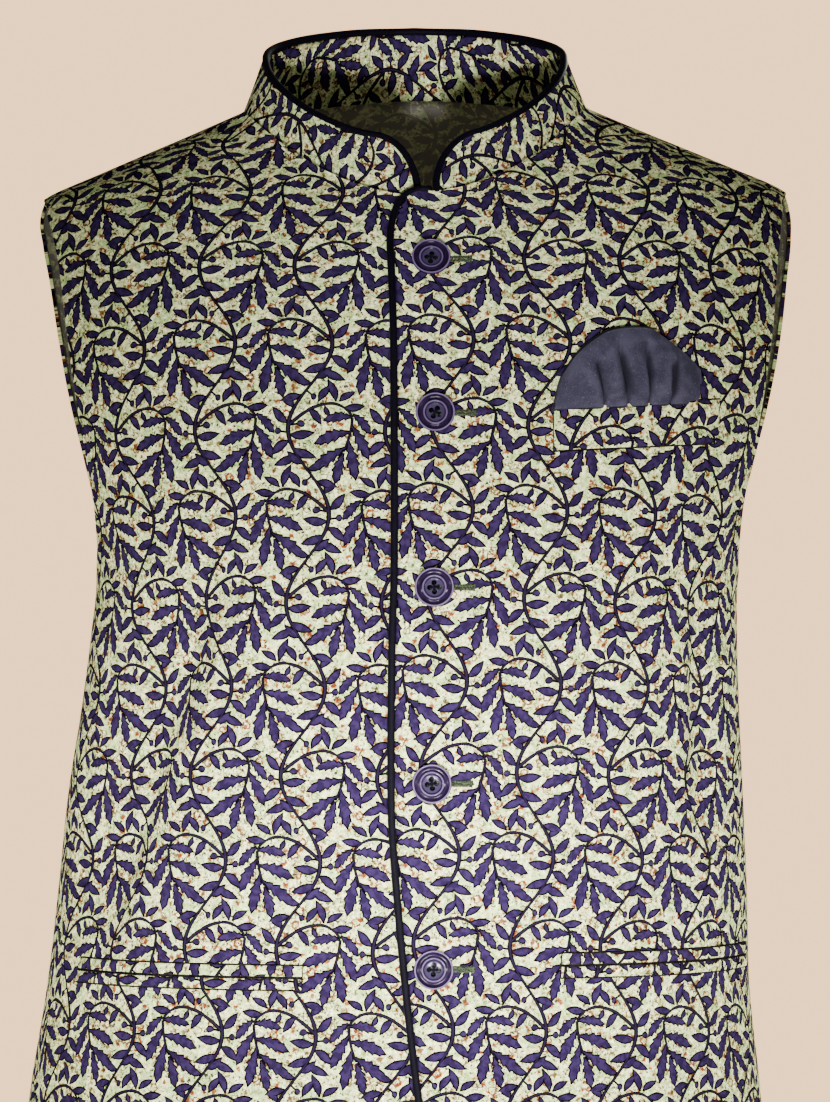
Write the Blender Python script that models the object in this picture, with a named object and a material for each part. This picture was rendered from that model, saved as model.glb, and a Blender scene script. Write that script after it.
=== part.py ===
"""A nehru jacket: a sleeveless, hip-length, button-through jacket with a stand collar, as it hangs when worn.

Two fronts and a back are walls of cloth on one worn form. The form is a stack of rings, from the hem up to the
shoulder line. A place on it is a height and a girth, which is the length along the ring from the centre line.
Metres, +Z up, the front faces -Y and the wearer's left is +X. The origin lies between the two points where the
shoulder seams meet the collar.
"""

import math

import bmesh
import bpy
import numpy as np
from mathutils import Matrix, Vector

# Sizes of the cut and the cloth
CLOTH = 0.0020  # wall of shell and interlining
SEAM_GAP = 0.0003
HEM = -0.700
HEM_BACK_DROP = 0.006
SHOULDER_TIP = -0.0435
NECK_HALF_WIDTH = 0.088
FRONT_NECK_DROP = 0.0495
BACK_NECK_RISE = 0.010
UNDERARM = -0.240
ARMHOLE_FRONT = 0.060  # how far the armhole is scooped from the side line
ARMHOLE_BACK = 0.046
ARMHOLE_BLUNT = 0.70  # below 1 the armhole's ends are rounder than an oval's
SHOULDER_DROOP = 0.0040  # the right shoulder hangs this much lower

# Front closure
OVERLAP = 0.0180  # from the button line to the cloth's edge
LAP_RAISE = 0.0035  # the left front lies over the right one
LAP_FLAT, LAP_END = 0.024, 0.060
CORNER_ACROSS, CORNER_DOWN = 0.0150, 0.0270  # the rounded top corner of a front's edge
COLLAR_END = 0.0064  # each end of the collar stands this far from the button line
PIPING_RADIUS = 0.0015
PIPING_SIDES = 8
PIPING_STOP = 0.0022  # the left front's piping stops here beside the collar's own
RIGHT_PIPING_TOP = -0.470
PIPING_HEM_END = 0.104  # from the button line, along the hem

# Collar
COLLAR_WALL = 0.0026
COLLAR_ROUND = 0.025
COLLAR_FIRST = 0.0004

# Buttons
BUTTON_RADIUS = 0.0097
BUTTON_HEIGHT = 0.0034
BUTTON_DISH = 0.0058
BUTTON_HOLE = 0.00085
BUTTON_HOLE_OFF = 0.0015
BUTTON_SEAT = 0.0004
BUTTON_STEPS = 20
BUTTON_HEIGHTS = (-0.084, -0.1595, -0.245, -0.341, -0.432)

# Pockets
WELT = 0.0014
BREAST_START, BREAST_WIDTH, BREAST_TALL = 0.0690, 0.0950, 0.0225
BREAST_TOP, BREAST_RISE = -0.1555, 0.0045
SQUARE_WIDTH, SQUARE_TALL, SQUARE_PUFF = 0.0780, 0.0355, 0.0062
HIP_START, HIP_WIDTH, HIP_WELT = 0.0645, 0.1360, 0.0062
HIP_HEIGHTS = {"left": -0.4310, "right": -0.4365}

# The worn form. The half width and the depths are measured from the ring's middle, and sway moves the ring across.
STATION_COLUMNS = ("height", "half_width", "front_depth", "back_depth", "front_power", "back_power", "sway")
STATIONS = (
    (0.020, 0.040, 0.033, 0.060, 2.20, 2.30, 0.0000),
    (0.010, 0.064, 0.038, 0.068, 2.20, 2.30, 0.0000),
    (0.000, 0.088, 0.043, 0.0755, 2.20, 2.30, 0.0000),
    (-0.010, 0.112, 0.0495, 0.082, 2.20, 2.30, 0.0000),
    (-0.020, 0.136, 0.0565, 0.088, 2.20, 2.30, 0.0000),
    (-0.030, 0.160, 0.064, 0.0935, 2.20, 2.30, 0.0000),
    (-0.0435, 0.190, 0.0755, 0.1005, 2.20, 2.35, 0.0000),
    (-0.052, 0.1965, 0.082, 0.1045, 2.22, 2.35, 0.0000),
    (-0.065, 0.1985, 0.0905, 0.1095, 2.25, 2.40, 0.0010),
    (-0.085, 0.1978, 0.1010, 0.1160, 2.28, 2.40, 0.0018),
    (-0.110, 0.1952, 0.1110, 0.1220, 2.32, 2.45, 0.0024),
    (-0.150, 0.1875, 0.1190, 0.1270, 2.38, 2.50, 0.0024),
    (-0.180, 0.1790, 0.1230, 0.1275, 2.40, 2.50, 0.0022),
    (-0.210, 0.1700, 0.1260, 0.1260, 2.42, 2.50, 0.0018),
    (-0.240, 0.1642, 0.1285, 0.1235, 2.42, 2.50, 0.0012),
    (-0.270, 0.1652, 0.1300, 0.1200, 2.42, 2.45, -0.0005),
    (-0.300, 0.1675, 0.1310, 0.1165, 2.40, 2.40, -0.0020),
    (-0.350, 0.1725, 0.1315, 0.1130, 2.38, 2.35, -0.0048),
    (-0.400, 0.1762, 0.1320, 0.1140, 2.36, 2.30, -0.0064),
    (-0.450, 0.1798, 0.1325, 0.1185, 2.34, 2.30, -0.0086),
    (-0.500, 0.1865, 0.1335, 0.1240, 2.32, 2.30, -0.0100),
    (-0.600, 0.1950, 0.1370, 0.1320, 2.30, 2.30, -0.0110),
    (-0.720, 0.2035, 0.1400, 0.1370, 2.28, 2.30, -0.0120),
)

# The button line, as a girth on the form, and how far the front edge is cut away from it.
CLOSURE_COLUMNS = ("height", "girth")
CLOSURE = (
    (0.020, 0.0060),
    (-0.084, 0.0062),
    (-0.160, 0.0076),
    (-0.245, 0.0084),
    (-0.341, 0.0125),
    (-0.432, 0.0168),
    (-0.500, 0.0190),
    (-0.720, 0.0220),
)
CUTAWAY_COLUMNS = ("away", "height")
CUTAWAY = (
    (0.0000, -0.340),
    (0.0006, -0.370),
    (0.0024, -0.400),
    (0.0073, -0.450),
    (0.0132, -0.500),
    (0.0215, -0.550),
    (0.0330, -0.600),
    (0.0455, -0.640),
    (0.0610, -0.670),
    (0.0820, -0.690),
    (0.1150, -0.700),
)
CUTAWAY_CORNER = 8  # the row where the front edge turns into the hem

# The collar's rim, by the angle round the neck from the front: how far across it stands and how high.
RIM_FRONT, RIM_BACK = 0.0680, 0.0660
RIM_COLUMNS = ("degrees", "across", "height")
RIM = (
    (0, 0.0775, -0.0206),
    (20, 0.0775, -0.0192),
    (45, 0.0780, -0.0080),
    (70, 0.0785, 0.0105),
    (90, 0.0785, 0.0240),
    (115, 0.0780, 0.0345),
    (145, 0.0775, 0.0410),
    (180, 0.0775, 0.0430),
)

# Soft folds: one side falls in steeply and the other runs out slowly. "back" is -1 on a front and 1 on the back.
FOLD_COLUMNS = ("back", "girth_top", "top", "girth_low", "low", "depth", "steep", "slow")
FOLDS = (
    (-1, -0.112, -0.250, -0.172, -0.420, 0.0075, 0.0120, 0.0340),
    (-1, 0.160, -0.250, 0.166, -0.360, 0.0045, 0.0120, 0.0200),
    (-1, -0.158, -0.500, -0.176, -0.650, 0.0040, 0.0140, 0.0260),
    (-1, 0.155, -0.480, 0.172, -0.650, 0.0035, 0.0140, 0.0260),
    (1, 0.098, -0.270, 0.132, -0.420, 0.0050, 0.0130, 0.0320),
    (1, -0.104, -0.275, -0.126, -0.430, 0.0045, 0.0130, 0.0320),
    (1, 0.036, -0.470, 0.052, -0.660, 0.0035, 0.0140, 0.0320),
    (1, -0.060, -0.500, -0.074, -0.660, 0.0030, 0.0140, 0.0320),
)
FOLD_ENDS = 0.045  # the length over which a fold starts and stops
SEAM_QUIET = 0.020  # folds die out this near a side line

FRONT, BACK = -1, 1
FRONT_COLUMNS, FRONT_AT_NECK, FRONT_ROWS = 18, 10, 30  # at neck: the columns that end in the neck seam
BACK_COLUMNS, BACK_AT_NECK, BACK_ROWS = 32, 8, 26  # on each side of the middle
HIGH_ROWS = 11  # rows of a panel above the underarm
CORNER_CROWD = 1.25  # draws a front's columns and rows towards its top corner
BOW_FADE = 2.0
RELAX_STEPS, RELAX_SHARE = 200, 0.8
TABLE_ROWS, TABLE_STEPS, ARC_STEPS = 361, 161, 721

COLOURS = {
    "print": (0.42, 0.42, 0.36, 0.45, 0.0),
    "navy": (0.020, 0.019, 0.040, 0.50, 0.0),
    "square": (0.045, 0.045, 0.075, 0.80, 0.0),
    "button": (0.060, 0.045, 0.130, 0.22, 0.0),
}


def column(rows, names, name):
    """One named column of a table."""
    return np.array([row[names.index(name)] for row in rows], float)


def through(at, values, where):
    """A smooth curve through (at, values), read at where: cubic spans with each row's slope set by its neighbours."""
    order = np.argsort(at)
    at, values = np.asarray(at, float)[order], np.asarray(values, float)[order]
    steps = np.diff(values) / np.diff(at)
    spans = np.diff(at)
    inner = (steps[:-1] * spans[1:] + steps[1:] * spans[:-1]) / (spans[:-1] + spans[1:])
    slopes = np.concatenate([steps[:1], inner, steps[-1:]])
    where = np.clip(where, at[0], at[-1])
    i = np.clip(np.searchsorted(at, where, side="right") - 1, 0, len(at) - 2)
    t = (where - at[i]) / spans[i]
    start = values[i] * (1 + 2 * t) * (1 - t) ** 2 + slopes[i] * spans[i] * t * (1 - t) ** 2
    end = values[i + 1] * t * t * (3 - 2 * t) - slopes[i + 1] * spans[i] * t * t * (1 - t)
    return start + end


def line_through(points, count):
    """count points, evenly spaced along a smooth curve through the given points."""
    points = np.asarray(points, float)
    chords = np.linalg.norm(np.diff(points, axis=0), axis=1)
    at = np.concatenate([[0.0], np.cumsum(chords)])
    fine = np.linspace(0, at[-1], 40 * len(points))
    curve = np.stack([through(at, points[:, k], fine) for k in range(points.shape[1])], axis=1)
    return spaced(curve, count)


def spaced(curve, count, crowd=1.0):
    """count points along a polyline, evenly, or closer together near its start where crowd is over 1."""
    along = np.concatenate([[0.0], np.cumsum(np.linalg.norm(np.diff(curve, axis=0), axis=1))])
    at = np.linspace(0, 1, count) ** crowd * along[-1]
    return np.stack([np.interp(at, along, curve[:, k]) for k in range(curve.shape[1])], axis=1)


def smooth_step(x, low, high):
    t = np.clip((x - low) / (high - low), 0, 1)
    return t * t * (3 - 2 * t)


class Form:
    """The worn form: half rings, front and back, as tables of X and Y by height and by share of the quarter ring."""

    def __init__(self):
        heights = column(STATIONS, STATION_COLUMNS, "height")
        self.z = np.linspace(heights.min(), heights.max(), TABLE_ROWS)

        def station(name):
            return through(heights, column(STATIONS, STATION_COLUMNS, name), self.z)[:, None]

        self.sway = station("sway")[:, 0]
        self.across, self.depth, self.quarter = {}, {}, {}
        turn = np.linspace(0, math.pi / 2, ARC_STEPS)[None, :]
        share = np.linspace(0, 1, TABLE_STEPS)
        for side, name in ((FRONT, "front"), (BACK, "back")):
            power = 2 / station(name + "_power")
            x = station("half_width") * np.sin(turn) ** power
            y = station(name + "_depth") * np.abs(np.cos(turn)) ** power
            y[:, -1] = 0.0
            length = np.concatenate(
                [np.zeros((TABLE_ROWS, 1)), np.cumsum(np.hypot(np.diff(x), np.diff(y)), axis=1)], axis=1
            )
            self.quarter[side] = length[:, -1]
            rows = range(TABLE_ROWS)
            self.across[side] = np.array([np.interp(share * length[i, -1], length[i], x[i]) for i in rows])
            self.depth[side] = np.array([np.interp(share * length[i, -1], length[i], y[i]) for i in rows])

    def quarter_at(self, side, z):
        """The girth from the centre line to the side line."""
        return np.interp(z, self.z, self.quarter[side])

    def read(self, table, share, z):
        row = np.clip((z - self.z[0]) / (self.z[-1] - self.z[0]), 0, 1) * (TABLE_ROWS - 1)
        col = np.clip(share, 0, 1) * (TABLE_STEPS - 1)
        i = np.minimum(row.astype(int), TABLE_ROWS - 2)
        j = np.minimum(col.astype(int), TABLE_STEPS - 2)
        f, g = row - i, col - j
        low = table[i, j] * (1 - g) + table[i, j + 1] * g
        high = table[i + 1, j] * (1 - g) + table[i + 1, j + 1] * g
        return low * (1 - f) + high * f

    def place(self, side, girth, z):
        """The point of the bare form at a girth and a height."""
        girth, z = np.broadcast_arrays(np.asarray(girth, float), np.asarray(z, float))
        share = np.abs(girth) / self.quarter_at(side, z)
        x = np.sign(girth) * self.read(self.across[side], share, z) + np.interp(z, self.z, self.sway)
        y = side * self.read(self.depth[side], share, z)
        droop = SHOULDER_DROOP * np.clip(-x / NECK_HALF_WIDTH / 2, 0, 1) * smooth_step(z, UNDERARM, 0)
        return np.stack([x, y, z - droop], axis=-1)

    def normal(self, side, girth, z):
        """The direction out of the form, square to it."""
        step = 0.0015
        limit = self.quarter_at(side, z)
        low, high = np.maximum(girth - step, -limit), np.minimum(girth + step, limit)
        along = self.place(side, high, z) - self.place(side, low, z)
        share = girth / limit
        up, down = z + step, z - step
        rise = self.place(side, share * self.quarter_at(side, up), up)
        rise = rise - self.place(side, share * self.quarter_at(side, down), down)
        out = np.cross(rise, along) * side
        return out / np.linalg.norm(out, axis=-1, keepdims=True)

    def lift(self, side, girth, z, out=0.0):
        """A point of the draped cloth, moved out from it by out."""
        girth, z = np.broadcast_arrays(np.asarray(girth, float), np.asarray(z, float))
        away = (np.asarray(out) + drape(self, side, girth, z))[..., None]
        return self.place(side, girth, z) + self.normal(side, girth, z) * away

    def girth_of(self, side, x, z):
        """The girth at which the ring at height z reaches x."""
        share = np.linspace(0, 1, TABLE_STEPS)
        found = []
        for one_x, one_z in zip(np.atleast_1d(x), np.atleast_1d(z)):
            ring = self.read(self.across[side], share, np.full(TABLE_STEPS, one_z))
            found.append(np.interp(abs(one_x), ring, share * self.quarter_at(side, one_z)))
        return np.array(found) * np.sign(np.atleast_1d(x))


def drape(form, side, girth, z):
    """How far the folds move the cloth: each falls in over its steep side and comes back over its slow side."""
    moved = np.zeros(np.broadcast(girth, z).shape)
    quiet = smooth_step(form.quarter_at(side, z) - np.abs(girth), 0, SEAM_QUIET)
    for row in FOLDS:
        fold = dict(zip(FOLD_COLUMNS, row))
        if fold["back"] != side:
            continue
        length = math.hypot(fold["girth_low"] - fold["girth_top"], fold["low"] - fold["top"])
        t = (z - fold["top"]) / (fold["low"] - fold["top"])
        middle = fold["girth_top"] + (fold["girth_low"] - fold["girth_top"]) * np.clip(t, -0.3, 1.3)
        outward = (girth - middle) * np.sign(fold["girth_top"])
        across = np.where(outward < 0, outward / fold["steep"], outward / fold["slow"])
        ends = smooth_step(t * length, -FOLD_ENDS, FOLD_ENDS) * smooth_step((1 - t) * length, -FOLD_ENDS, FOLD_ENDS)
        moved -= fold["depth"] * np.exp(-across * across) * ends
    return moved * quiet


def closure(z):
    """The girth of the button line at a height."""
    return through(column(CLOSURE, CLOSURE_COLUMNS, "height"), column(CLOSURE, CLOSURE_COLUMNS, "girth"), z)


def lap(girth, z):
    """How far the left front is raised where it lies over the right one."""
    return LAP_RAISE * (1 - smooth_step(girth - closure(z), LAP_FLAT, LAP_END))


def neckline(form, side, hand, count):
    """The neck seam of a half, from the centre to the shoulder seam, as (girth, height) rows."""
    turn = np.linspace(0, math.pi / 2, count)
    rise = -FRONT_NECK_DROP if side == FRONT else BACK_NECK_RISE
    z = rise * np.cos(turn) ** 2
    start = hand * closure(z) * np.cos(turn) if side == FRONT else 0 * turn
    x = start + (NECK_HALF_WIDTH - start) * np.sin(turn)
    girth = form.girth_of(side, x, z)
    girth[-1] = form.quarter_at(side, z[-1])
    return np.stack([girth, z], axis=1)


def shoulder(form, side, count):
    """The shoulder seam, from the neck to its tip, half a seam gap short of the ridge."""
    z = np.linspace(0, SHOULDER_TIP, count)
    return np.stack([form.quarter_at(side, z) - SEAM_GAP / 2, z], axis=1)


def armhole(form, side, count):
    """The armhole's edge from the shoulder tip to the underarm: half an oval, deepest below its middle."""
    turn = np.linspace(0, math.pi, count)
    z = SHOULDER_TIP + (UNDERARM - SHOULDER_TIP) * (1 - np.cos(turn)) / 2
    deep = ARMHOLE_FRONT if side == FRONT else ARMHOLE_BACK
    scoop = deep * np.clip(np.sin(turn), 0, 1) ** ARMHOLE_BLUNT
    return np.stack([form.quarter_at(side, z) - SEAM_GAP / 2 - scoop, z], axis=1)


def side_seam(form, side, count):
    z = np.linspace(UNDERARM, HEM, count)
    return np.stack([form.quarter_at(side, z) - SEAM_GAP / 2, z], axis=1)


def front_edge(hand):
    """(edge, hem) of a front in its own girth: down the front edge to the corner, then on along the rounded hem."""
    away, z = (column(CUTAWAY, CUTAWAY_COLUMNS, name) for name in CUTAWAY_COLUMNS)
    straight = np.array([-FRONT_NECK_DROP - CORNER_DOWN, -0.12, -0.20, -0.27])
    z = np.concatenate([straight, z])
    away = np.concatenate([0 * straight, away])
    rows = np.stack([hand * closure(z) - OVERLAP + away, z], axis=1)
    turn = len(straight) + CUTAWAY_CORNER
    curve = line_through(rows, 400)
    split = int(np.argmin(np.linalg.norm(curve - rows[turn], axis=1)))
    return curve[: split + 1], curve[split:]


def top_corner(hand):
    """The rounded top corner of a front's edge, from the edge to the neck seam, in its own girth."""
    turn = np.linspace(0, math.pi / 2, 11)
    z = -FRONT_NECK_DROP - CORNER_DOWN * (1 - np.sin(turn))
    girth = hand * closure(z) - OVERLAP + CORNER_ACROSS * (1 - np.cos(turn))
    return np.stack([girth, z], axis=1)


def joined(*curves):
    return np.concatenate([curves[0]] + [curve[1:] for curve in curves[1:]])


def patch(top, bottom, left, right):
    """A grid of (girth, height) between four edges: a ruled sheet from the top to the bottom, moved by how far the
    left and right edges bow from straight. The bow in girth fades quickly away from its edge, so that a deep
    armhole doesn't push the grid over the neckline. Rows run from top to bottom, and columns from left to right."""
    s = np.linspace(0, 1, len(top))[None, :, None]
    t = np.linspace(0, 1, len(left))[:, None, None]
    fade = np.array([BOW_FADE, 1.0])
    ruled = (1 - t) * top[None] + t * bottom[None]
    for edge, near in ((left, 1 - s), (right, s)):
        bow = edge[:, None] - ((1 - t) * edge[0] + t * edge[-1])
        ruled = ruled + bow * near**fade
    return relaxed(ruled)


def relaxed(grid):
    """The grid with its inner points moved, step by step, until both families of lines run smoothly and no cell
    folds over: each point goes to the mean of its neighbours, weighted by the other family's spacing squared."""
    grid = grid.copy()
    for _ in range(RELAX_STEPS):
        along = (grid[1:-1, 2:] - grid[1:-1, :-2]) / 2
        down = (grid[2:, 1:-1] - grid[:-2, 1:-1]) / 2
        twist = (grid[2:, 2:] - grid[2:, :-2] - grid[:-2, 2:] + grid[:-2, :-2]) / 4
        a, b, c = ((p * q).sum(axis=-1, keepdims=True) for p, q in ((down, down), (along, down), (along, along)))
        across = a * (grid[1:-1, 2:] + grid[1:-1, :-2]) + c * (grid[2:, 1:-1] + grid[:-2, 1:-1])
        grid[1:-1, 1:-1] += RELAX_SHARE * ((across - 2 * b * twist) / (2 * (a + c)) - grid[1:-1, 1:-1])
    return grid


def front_grid(form, hand, columns=FRONT_COLUMNS, rows=FRONT_ROWS, high=HIGH_ROWS):
    """The grid of a front, in its own girth, which is mirrored for the right front."""
    corner = top_corner(hand)
    half = len(corner) // 2
    neck = neckline(form, FRONT, hand, 60)
    neck = neck[neck[:, 0] > corner[-1, 0] + 0.003]
    at_neck = round(columns * FRONT_AT_NECK / FRONT_COLUMNS)
    top = joined(
        spaced(joined(corner[half:], neck), at_neck + 1, CORNER_CROWD),
        spaced(shoulder(form, FRONT, 30), columns - at_neck + 1),
    )
    edge, hem = front_edge(hand)
    edge = joined(corner[: half + 1][::-1], edge)
    split = int(np.argmin(np.abs(edge[:, 1] - UNDERARM)))
    left = joined(spaced(edge[: split + 1], high + 1, CORNER_CROWD), spaced(edge[split:], rows - high + 1))
    side_end = np.array([[form.quarter_at(FRONT, HEM) - SEAM_GAP / 2, HEM]])
    bottom = spaced(np.concatenate([hem, side_end]), columns + 1)
    right = joined(
        spaced(armhole(form, FRONT, 60), high + 1), spaced(side_seam(form, FRONT, 40), rows - high + 1)
    )
    return patch(top, bottom, left, right)


def back_grid(form, columns=BACK_COLUMNS, rows=BACK_ROWS, high=HIGH_ROWS):
    """The grid of the back, from the right side to the left one."""
    half = columns // 2
    at_neck = round(half * 2 * BACK_AT_NECK / BACK_COLUMNS)
    top = joined(
        spaced(neckline(form, BACK, 1, 40), at_neck + 1), spaced(shoulder(form, BACK, 30), half - at_neck + 1)
    )
    right = joined(
        spaced(armhole(form, BACK, 60), high + 1), spaced(side_seam(form, BACK, 40), rows - high + 1)
    )
    girth = np.linspace(0, form.quarter_at(BACK, HEM) - SEAM_GAP / 2, half + 1)
    drop = HEM_BACK_DROP * np.cos(girth / girth[-1] * math.pi / 2) ** 2
    bottom = np.stack([girth, HEM - drop], axis=1)
    mirrored = np.array([-1.0, 1.0])
    return patch(
        joined(top[::-1] * mirrored, top), joined(bottom[::-1] * mirrored, bottom), right * mirrored, right
    )


def wall_faces(rows, columns):
    """Faces of a closed wall whose outer points come first and inner points second, both on a rows by columns grid."""
    count = rows * columns

    def at(i, j, layer):
        return layer * count + i * columns + j

    faces = []
    for i in range(rows - 1):
        for j in range(columns - 1):
            faces.append((at(i, j, 0), at(i + 1, j, 0), at(i + 1, j + 1, 0), at(i, j + 1, 0)))
            faces.append((at(i, j, 1), at(i, j + 1, 1), at(i + 1, j + 1, 1), at(i + 1, j, 1)))
    rim = [(0, j) for j in range(columns)] + [(i, columns - 1) for i in range(1, rows)]
    rim += [(rows - 1, j) for j in range(columns - 2, -1, -1)] + [(i, 0) for i in range(rows - 2, 0, -1)]
    for (i, j), (k, m) in zip(rim, rim[1:] + rim[:1]):
        faces.append((at(i, j, 0), at(k, m, 0), at(k, m, 1), at(i, j, 1)))
    return faces


def material(name):
    """A plain finish from COLOURS: red, green, blue, roughness, metallic."""
    made = bpy.data.materials.get(name)
    if made is None:
        made = bpy.data.materials.new(name)
        made.use_nodes = True
        shader = made.node_tree.nodes["Principled BSDF"]
        red, green, blue, rough, metal = COLOURS[name]
        shader.inputs["Base Color"].default_value = (red, green, blue, 1.0)
        shader.inputs["Roughness"].default_value = rough
        shader.inputs["Metallic"].default_value = metal
        made.diffuse_color = (red, green, blue, 1.0)
    return made


def solid(name, points, faces, finish, smooth=True):
    """An object from points and faces, its faces turned to point out."""
    mesh = bpy.data.meshes.new(name)
    mesh.from_pydata([tuple(point) for point in points], [], faces)
    work = bmesh.new()
    work.from_mesh(mesh)
    bmesh.ops.recalc_face_normals(work, faces=work.faces)
    if work.calc_volume(signed=True) < 0:
        bmesh.ops.reverse_faces(work, faces=work.faces)
    work.to_mesh(mesh)
    work.free()
    made = bpy.data.objects.new(name, mesh)
    bpy.context.scene.collection.objects.link(made)
    made.data.materials.append(material(finish))
    if smooth:
        mesh.shade_smooth()
        mesh.set_sharp_from_angle(angle=math.radians(40))
    return made


def wall(name, outer, inner, finish):
    """A closed wall between an outer and an inner grid of points."""
    rows, columns = outer.shape[:2]
    points = np.concatenate([outer.reshape(-1, 3), inner.reshape(-1, 3)])
    return solid(name, points, wall_faces(rows, columns), finish)


def front_layers(form, hand, grid):
    """(outer, inner) points of a front from its grid."""
    girth, z = hand * grid[..., 0], grid[..., 1]
    raised = lap(girth, z) if hand > 0 else 0.0
    return form.lift(FRONT, girth, z, raised), form.lift(FRONT, girth, z, raised - CLOTH)


def make_fronts(form):
    for name, hand in (("front_left", 1), ("front_right", -1)):
        outer, inner = front_layers(form, hand, front_grid(form, hand))
        wall(name, outer, inner, "print")


def make_back(form):
    grid = back_grid(form)
    outer = form.lift(BACK, grid[..., 0], grid[..., 1])
    inner = form.lift(BACK, grid[..., 0], grid[..., 1], -CLOTH)
    wall("back", outer, inner, "print")


def rim_at(turn):
    """The collar's rim at an angle round the neck from the front, with the wearer's left positive."""
    degrees = np.degrees(np.abs(turn))
    angles = column(RIM, RIM_COLUMNS, "degrees")
    across = through(angles, column(RIM, RIM_COLUMNS, "across"), degrees)
    depth = np.where(np.cos(turn) > 0, RIM_FRONT, RIM_BACK)
    height = through(angles, column(RIM, RIM_COLUMNS, "height"), degrees)
    return np.stack([across * np.sin(turn), -depth * np.cos(turn), height], axis=-1)


def halved(points, times=1):
    """The points with the middle of each span added, so many times over."""
    for _ in range(times):
        middles = (points[:-1] + points[1:]) / 2
        points = np.insert(points, np.arange(1, len(points)), middles, axis=0)
    return points


def neck_seam(form, count=361):
    """The whole neck seam, from the right end of the collar round the back to its left end, along the panels' own
    top edges: its points, the cloth's normals there, and the direction that leads off the cloth across the seam."""
    pieces = []
    for side, hand in ((FRONT, -1), (BACK, 1), (FRONT, 1)):
        if side == FRONT:
            top = front_grid(form, hand)[0, : FRONT_AT_NECK + 1]
            raised = lap(top[:, 0], top[:, 1]) if hand > 0 else 0.0
        else:
            top = back_grid(form)[0, BACK_COLUMNS // 2 - BACK_AT_NECK : BACK_COLUMNS // 2 + BACK_AT_NECK + 1]
            raised = 0.0
        girth, z = hand * top[:, 0], top[:, 1]
        rows = np.concatenate([form.lift(side, girth, z, raised), form.normal(side, girth, z), top], axis=1)
        rows = halved(rows, 4)
        if side == FRONT:
            rows = rows[rows[:, 6] >= hand * closure(rows[:, 7]) + COLLAR_END]
        pieces.append(rows[::-1] if side == FRONT and hand > 0 else rows)
    curve = spaced(joined(*pieces)[:, :6], count)
    points, normals = curve[:, :3], curve[:, 3:]
    normals = normals / np.linalg.norm(normals, axis=1, keepdims=True)
    beyond = np.cross(np.gradient(points, axis=0), normals)
    beyond /= np.linalg.norm(beyond, axis=1, keepdims=True)
    beyond *= np.sign(beyond[:, 2:])
    return points, normals, beyond


def collar_grid(form, columns=56, rows=4):
    """The collar's outer points and the direction out of it at each one. Each column runs from the neck seam to the
    rim, and the two front corners are rounded by quarter ellipses. At the seam the wall lies as the shell does."""
    seam, normals, beyond = neck_seam(form)
    along = np.concatenate([[0.0], np.cumsum(np.linalg.norm(np.diff(seam, axis=0), axis=1))])
    whole = along[-1]
    share = np.linspace(0, 1, columns + 1)
    at = COLLAR_FIRST + (share - 0.55 * np.sin(2 * math.pi * share) / (2 * math.pi)) * (whole - 2 * COLLAR_FIRST)

    def read(values):
        return np.stack([np.interp(at, along, values[:, k]) for k in range(3)], axis=1)

    base, first_out = read(seam), read(normals)
    turn = np.arctan2(base[:, 0], -base[:, 1])
    rim = rim_at(turn)
    rim[:, 0] += base[:, 0] - NECK_HALF_WIDTH * np.sin(turn)
    near = np.minimum(at, whole - at)
    rounding = np.sqrt(np.clip(1 - np.clip(1 - near / COLLAR_ROUND, 0, 1) ** 2, 0, 1))
    rise = (rim - base) * rounding[:, None]
    level = np.linspace(0, 1, rows + 1)[:, None, None]
    outer = base[None] + read(beyond)[None] * COLLAR_FIRST + rise[None] * level
    out = np.cross(np.gradient(base, axis=0), rise)
    out *= np.sign((out * first_out).sum(axis=1))[:, None]
    out /= np.linalg.norm(out, axis=1, keepdims=True)
    out = first_out[None] * (1 - level) + out[None] * level
    out /= np.linalg.norm(out, axis=2, keepdims=True)
    return outer, out


def tube(name, path, radius, finish, sides=PIPING_SIDES):
    """A round cord along a path, as a curve object with filled ends."""
    curve = bpy.data.curves.new(name, "CURVE")
    curve.dimensions = "3D"
    curve.bevel_depth = radius
    curve.bevel_resolution = (sides - 4) // 2
    curve.use_fill_caps = True
    spline = curve.splines.new("POLY")
    spline.points.add(len(path) - 1)
    for point, place in zip(spline.points, path):
        point.co = (*place, 1.0)
    made = bpy.data.objects.new(name, curve)
    bpy.context.scene.collection.objects.link(made)
    curve.materials.append(material(finish))
    return made


def edge_path(middle, out, away):
    """A cord's path beside an edge: middle is the edge's line, out the way out of the cloth along it, and away a
    direction that leads off the cloth's edge where the line starts."""
    tangent = np.gradient(middle, axis=0)
    off = np.cross(tangent, out)
    off /= np.linalg.norm(off, axis=1, keepdims=True)
    if (off[0] * away).sum() < 0:
        off = -off
    return middle + off * (PIPING_RADIUS + SEAM_GAP)


def make_collar(form):
    outer, out = collar_grid(form)
    wall("collar", outer, outer - out * COLLAR_WALL, "print")
    middle = outer - out * COLLAR_WALL / 2
    outline = np.concatenate([middle[:-1, 0], middle[-1], middle[:-1, -1][::-1]])
    sides = np.concatenate([out[:-1, 0], out[-1], out[:-1, -1][::-1]])
    tube("collar_piping", edge_path(outline, sides, middle[0, 0] - middle[0, 3]), PIPING_RADIUS, "navy")


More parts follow.
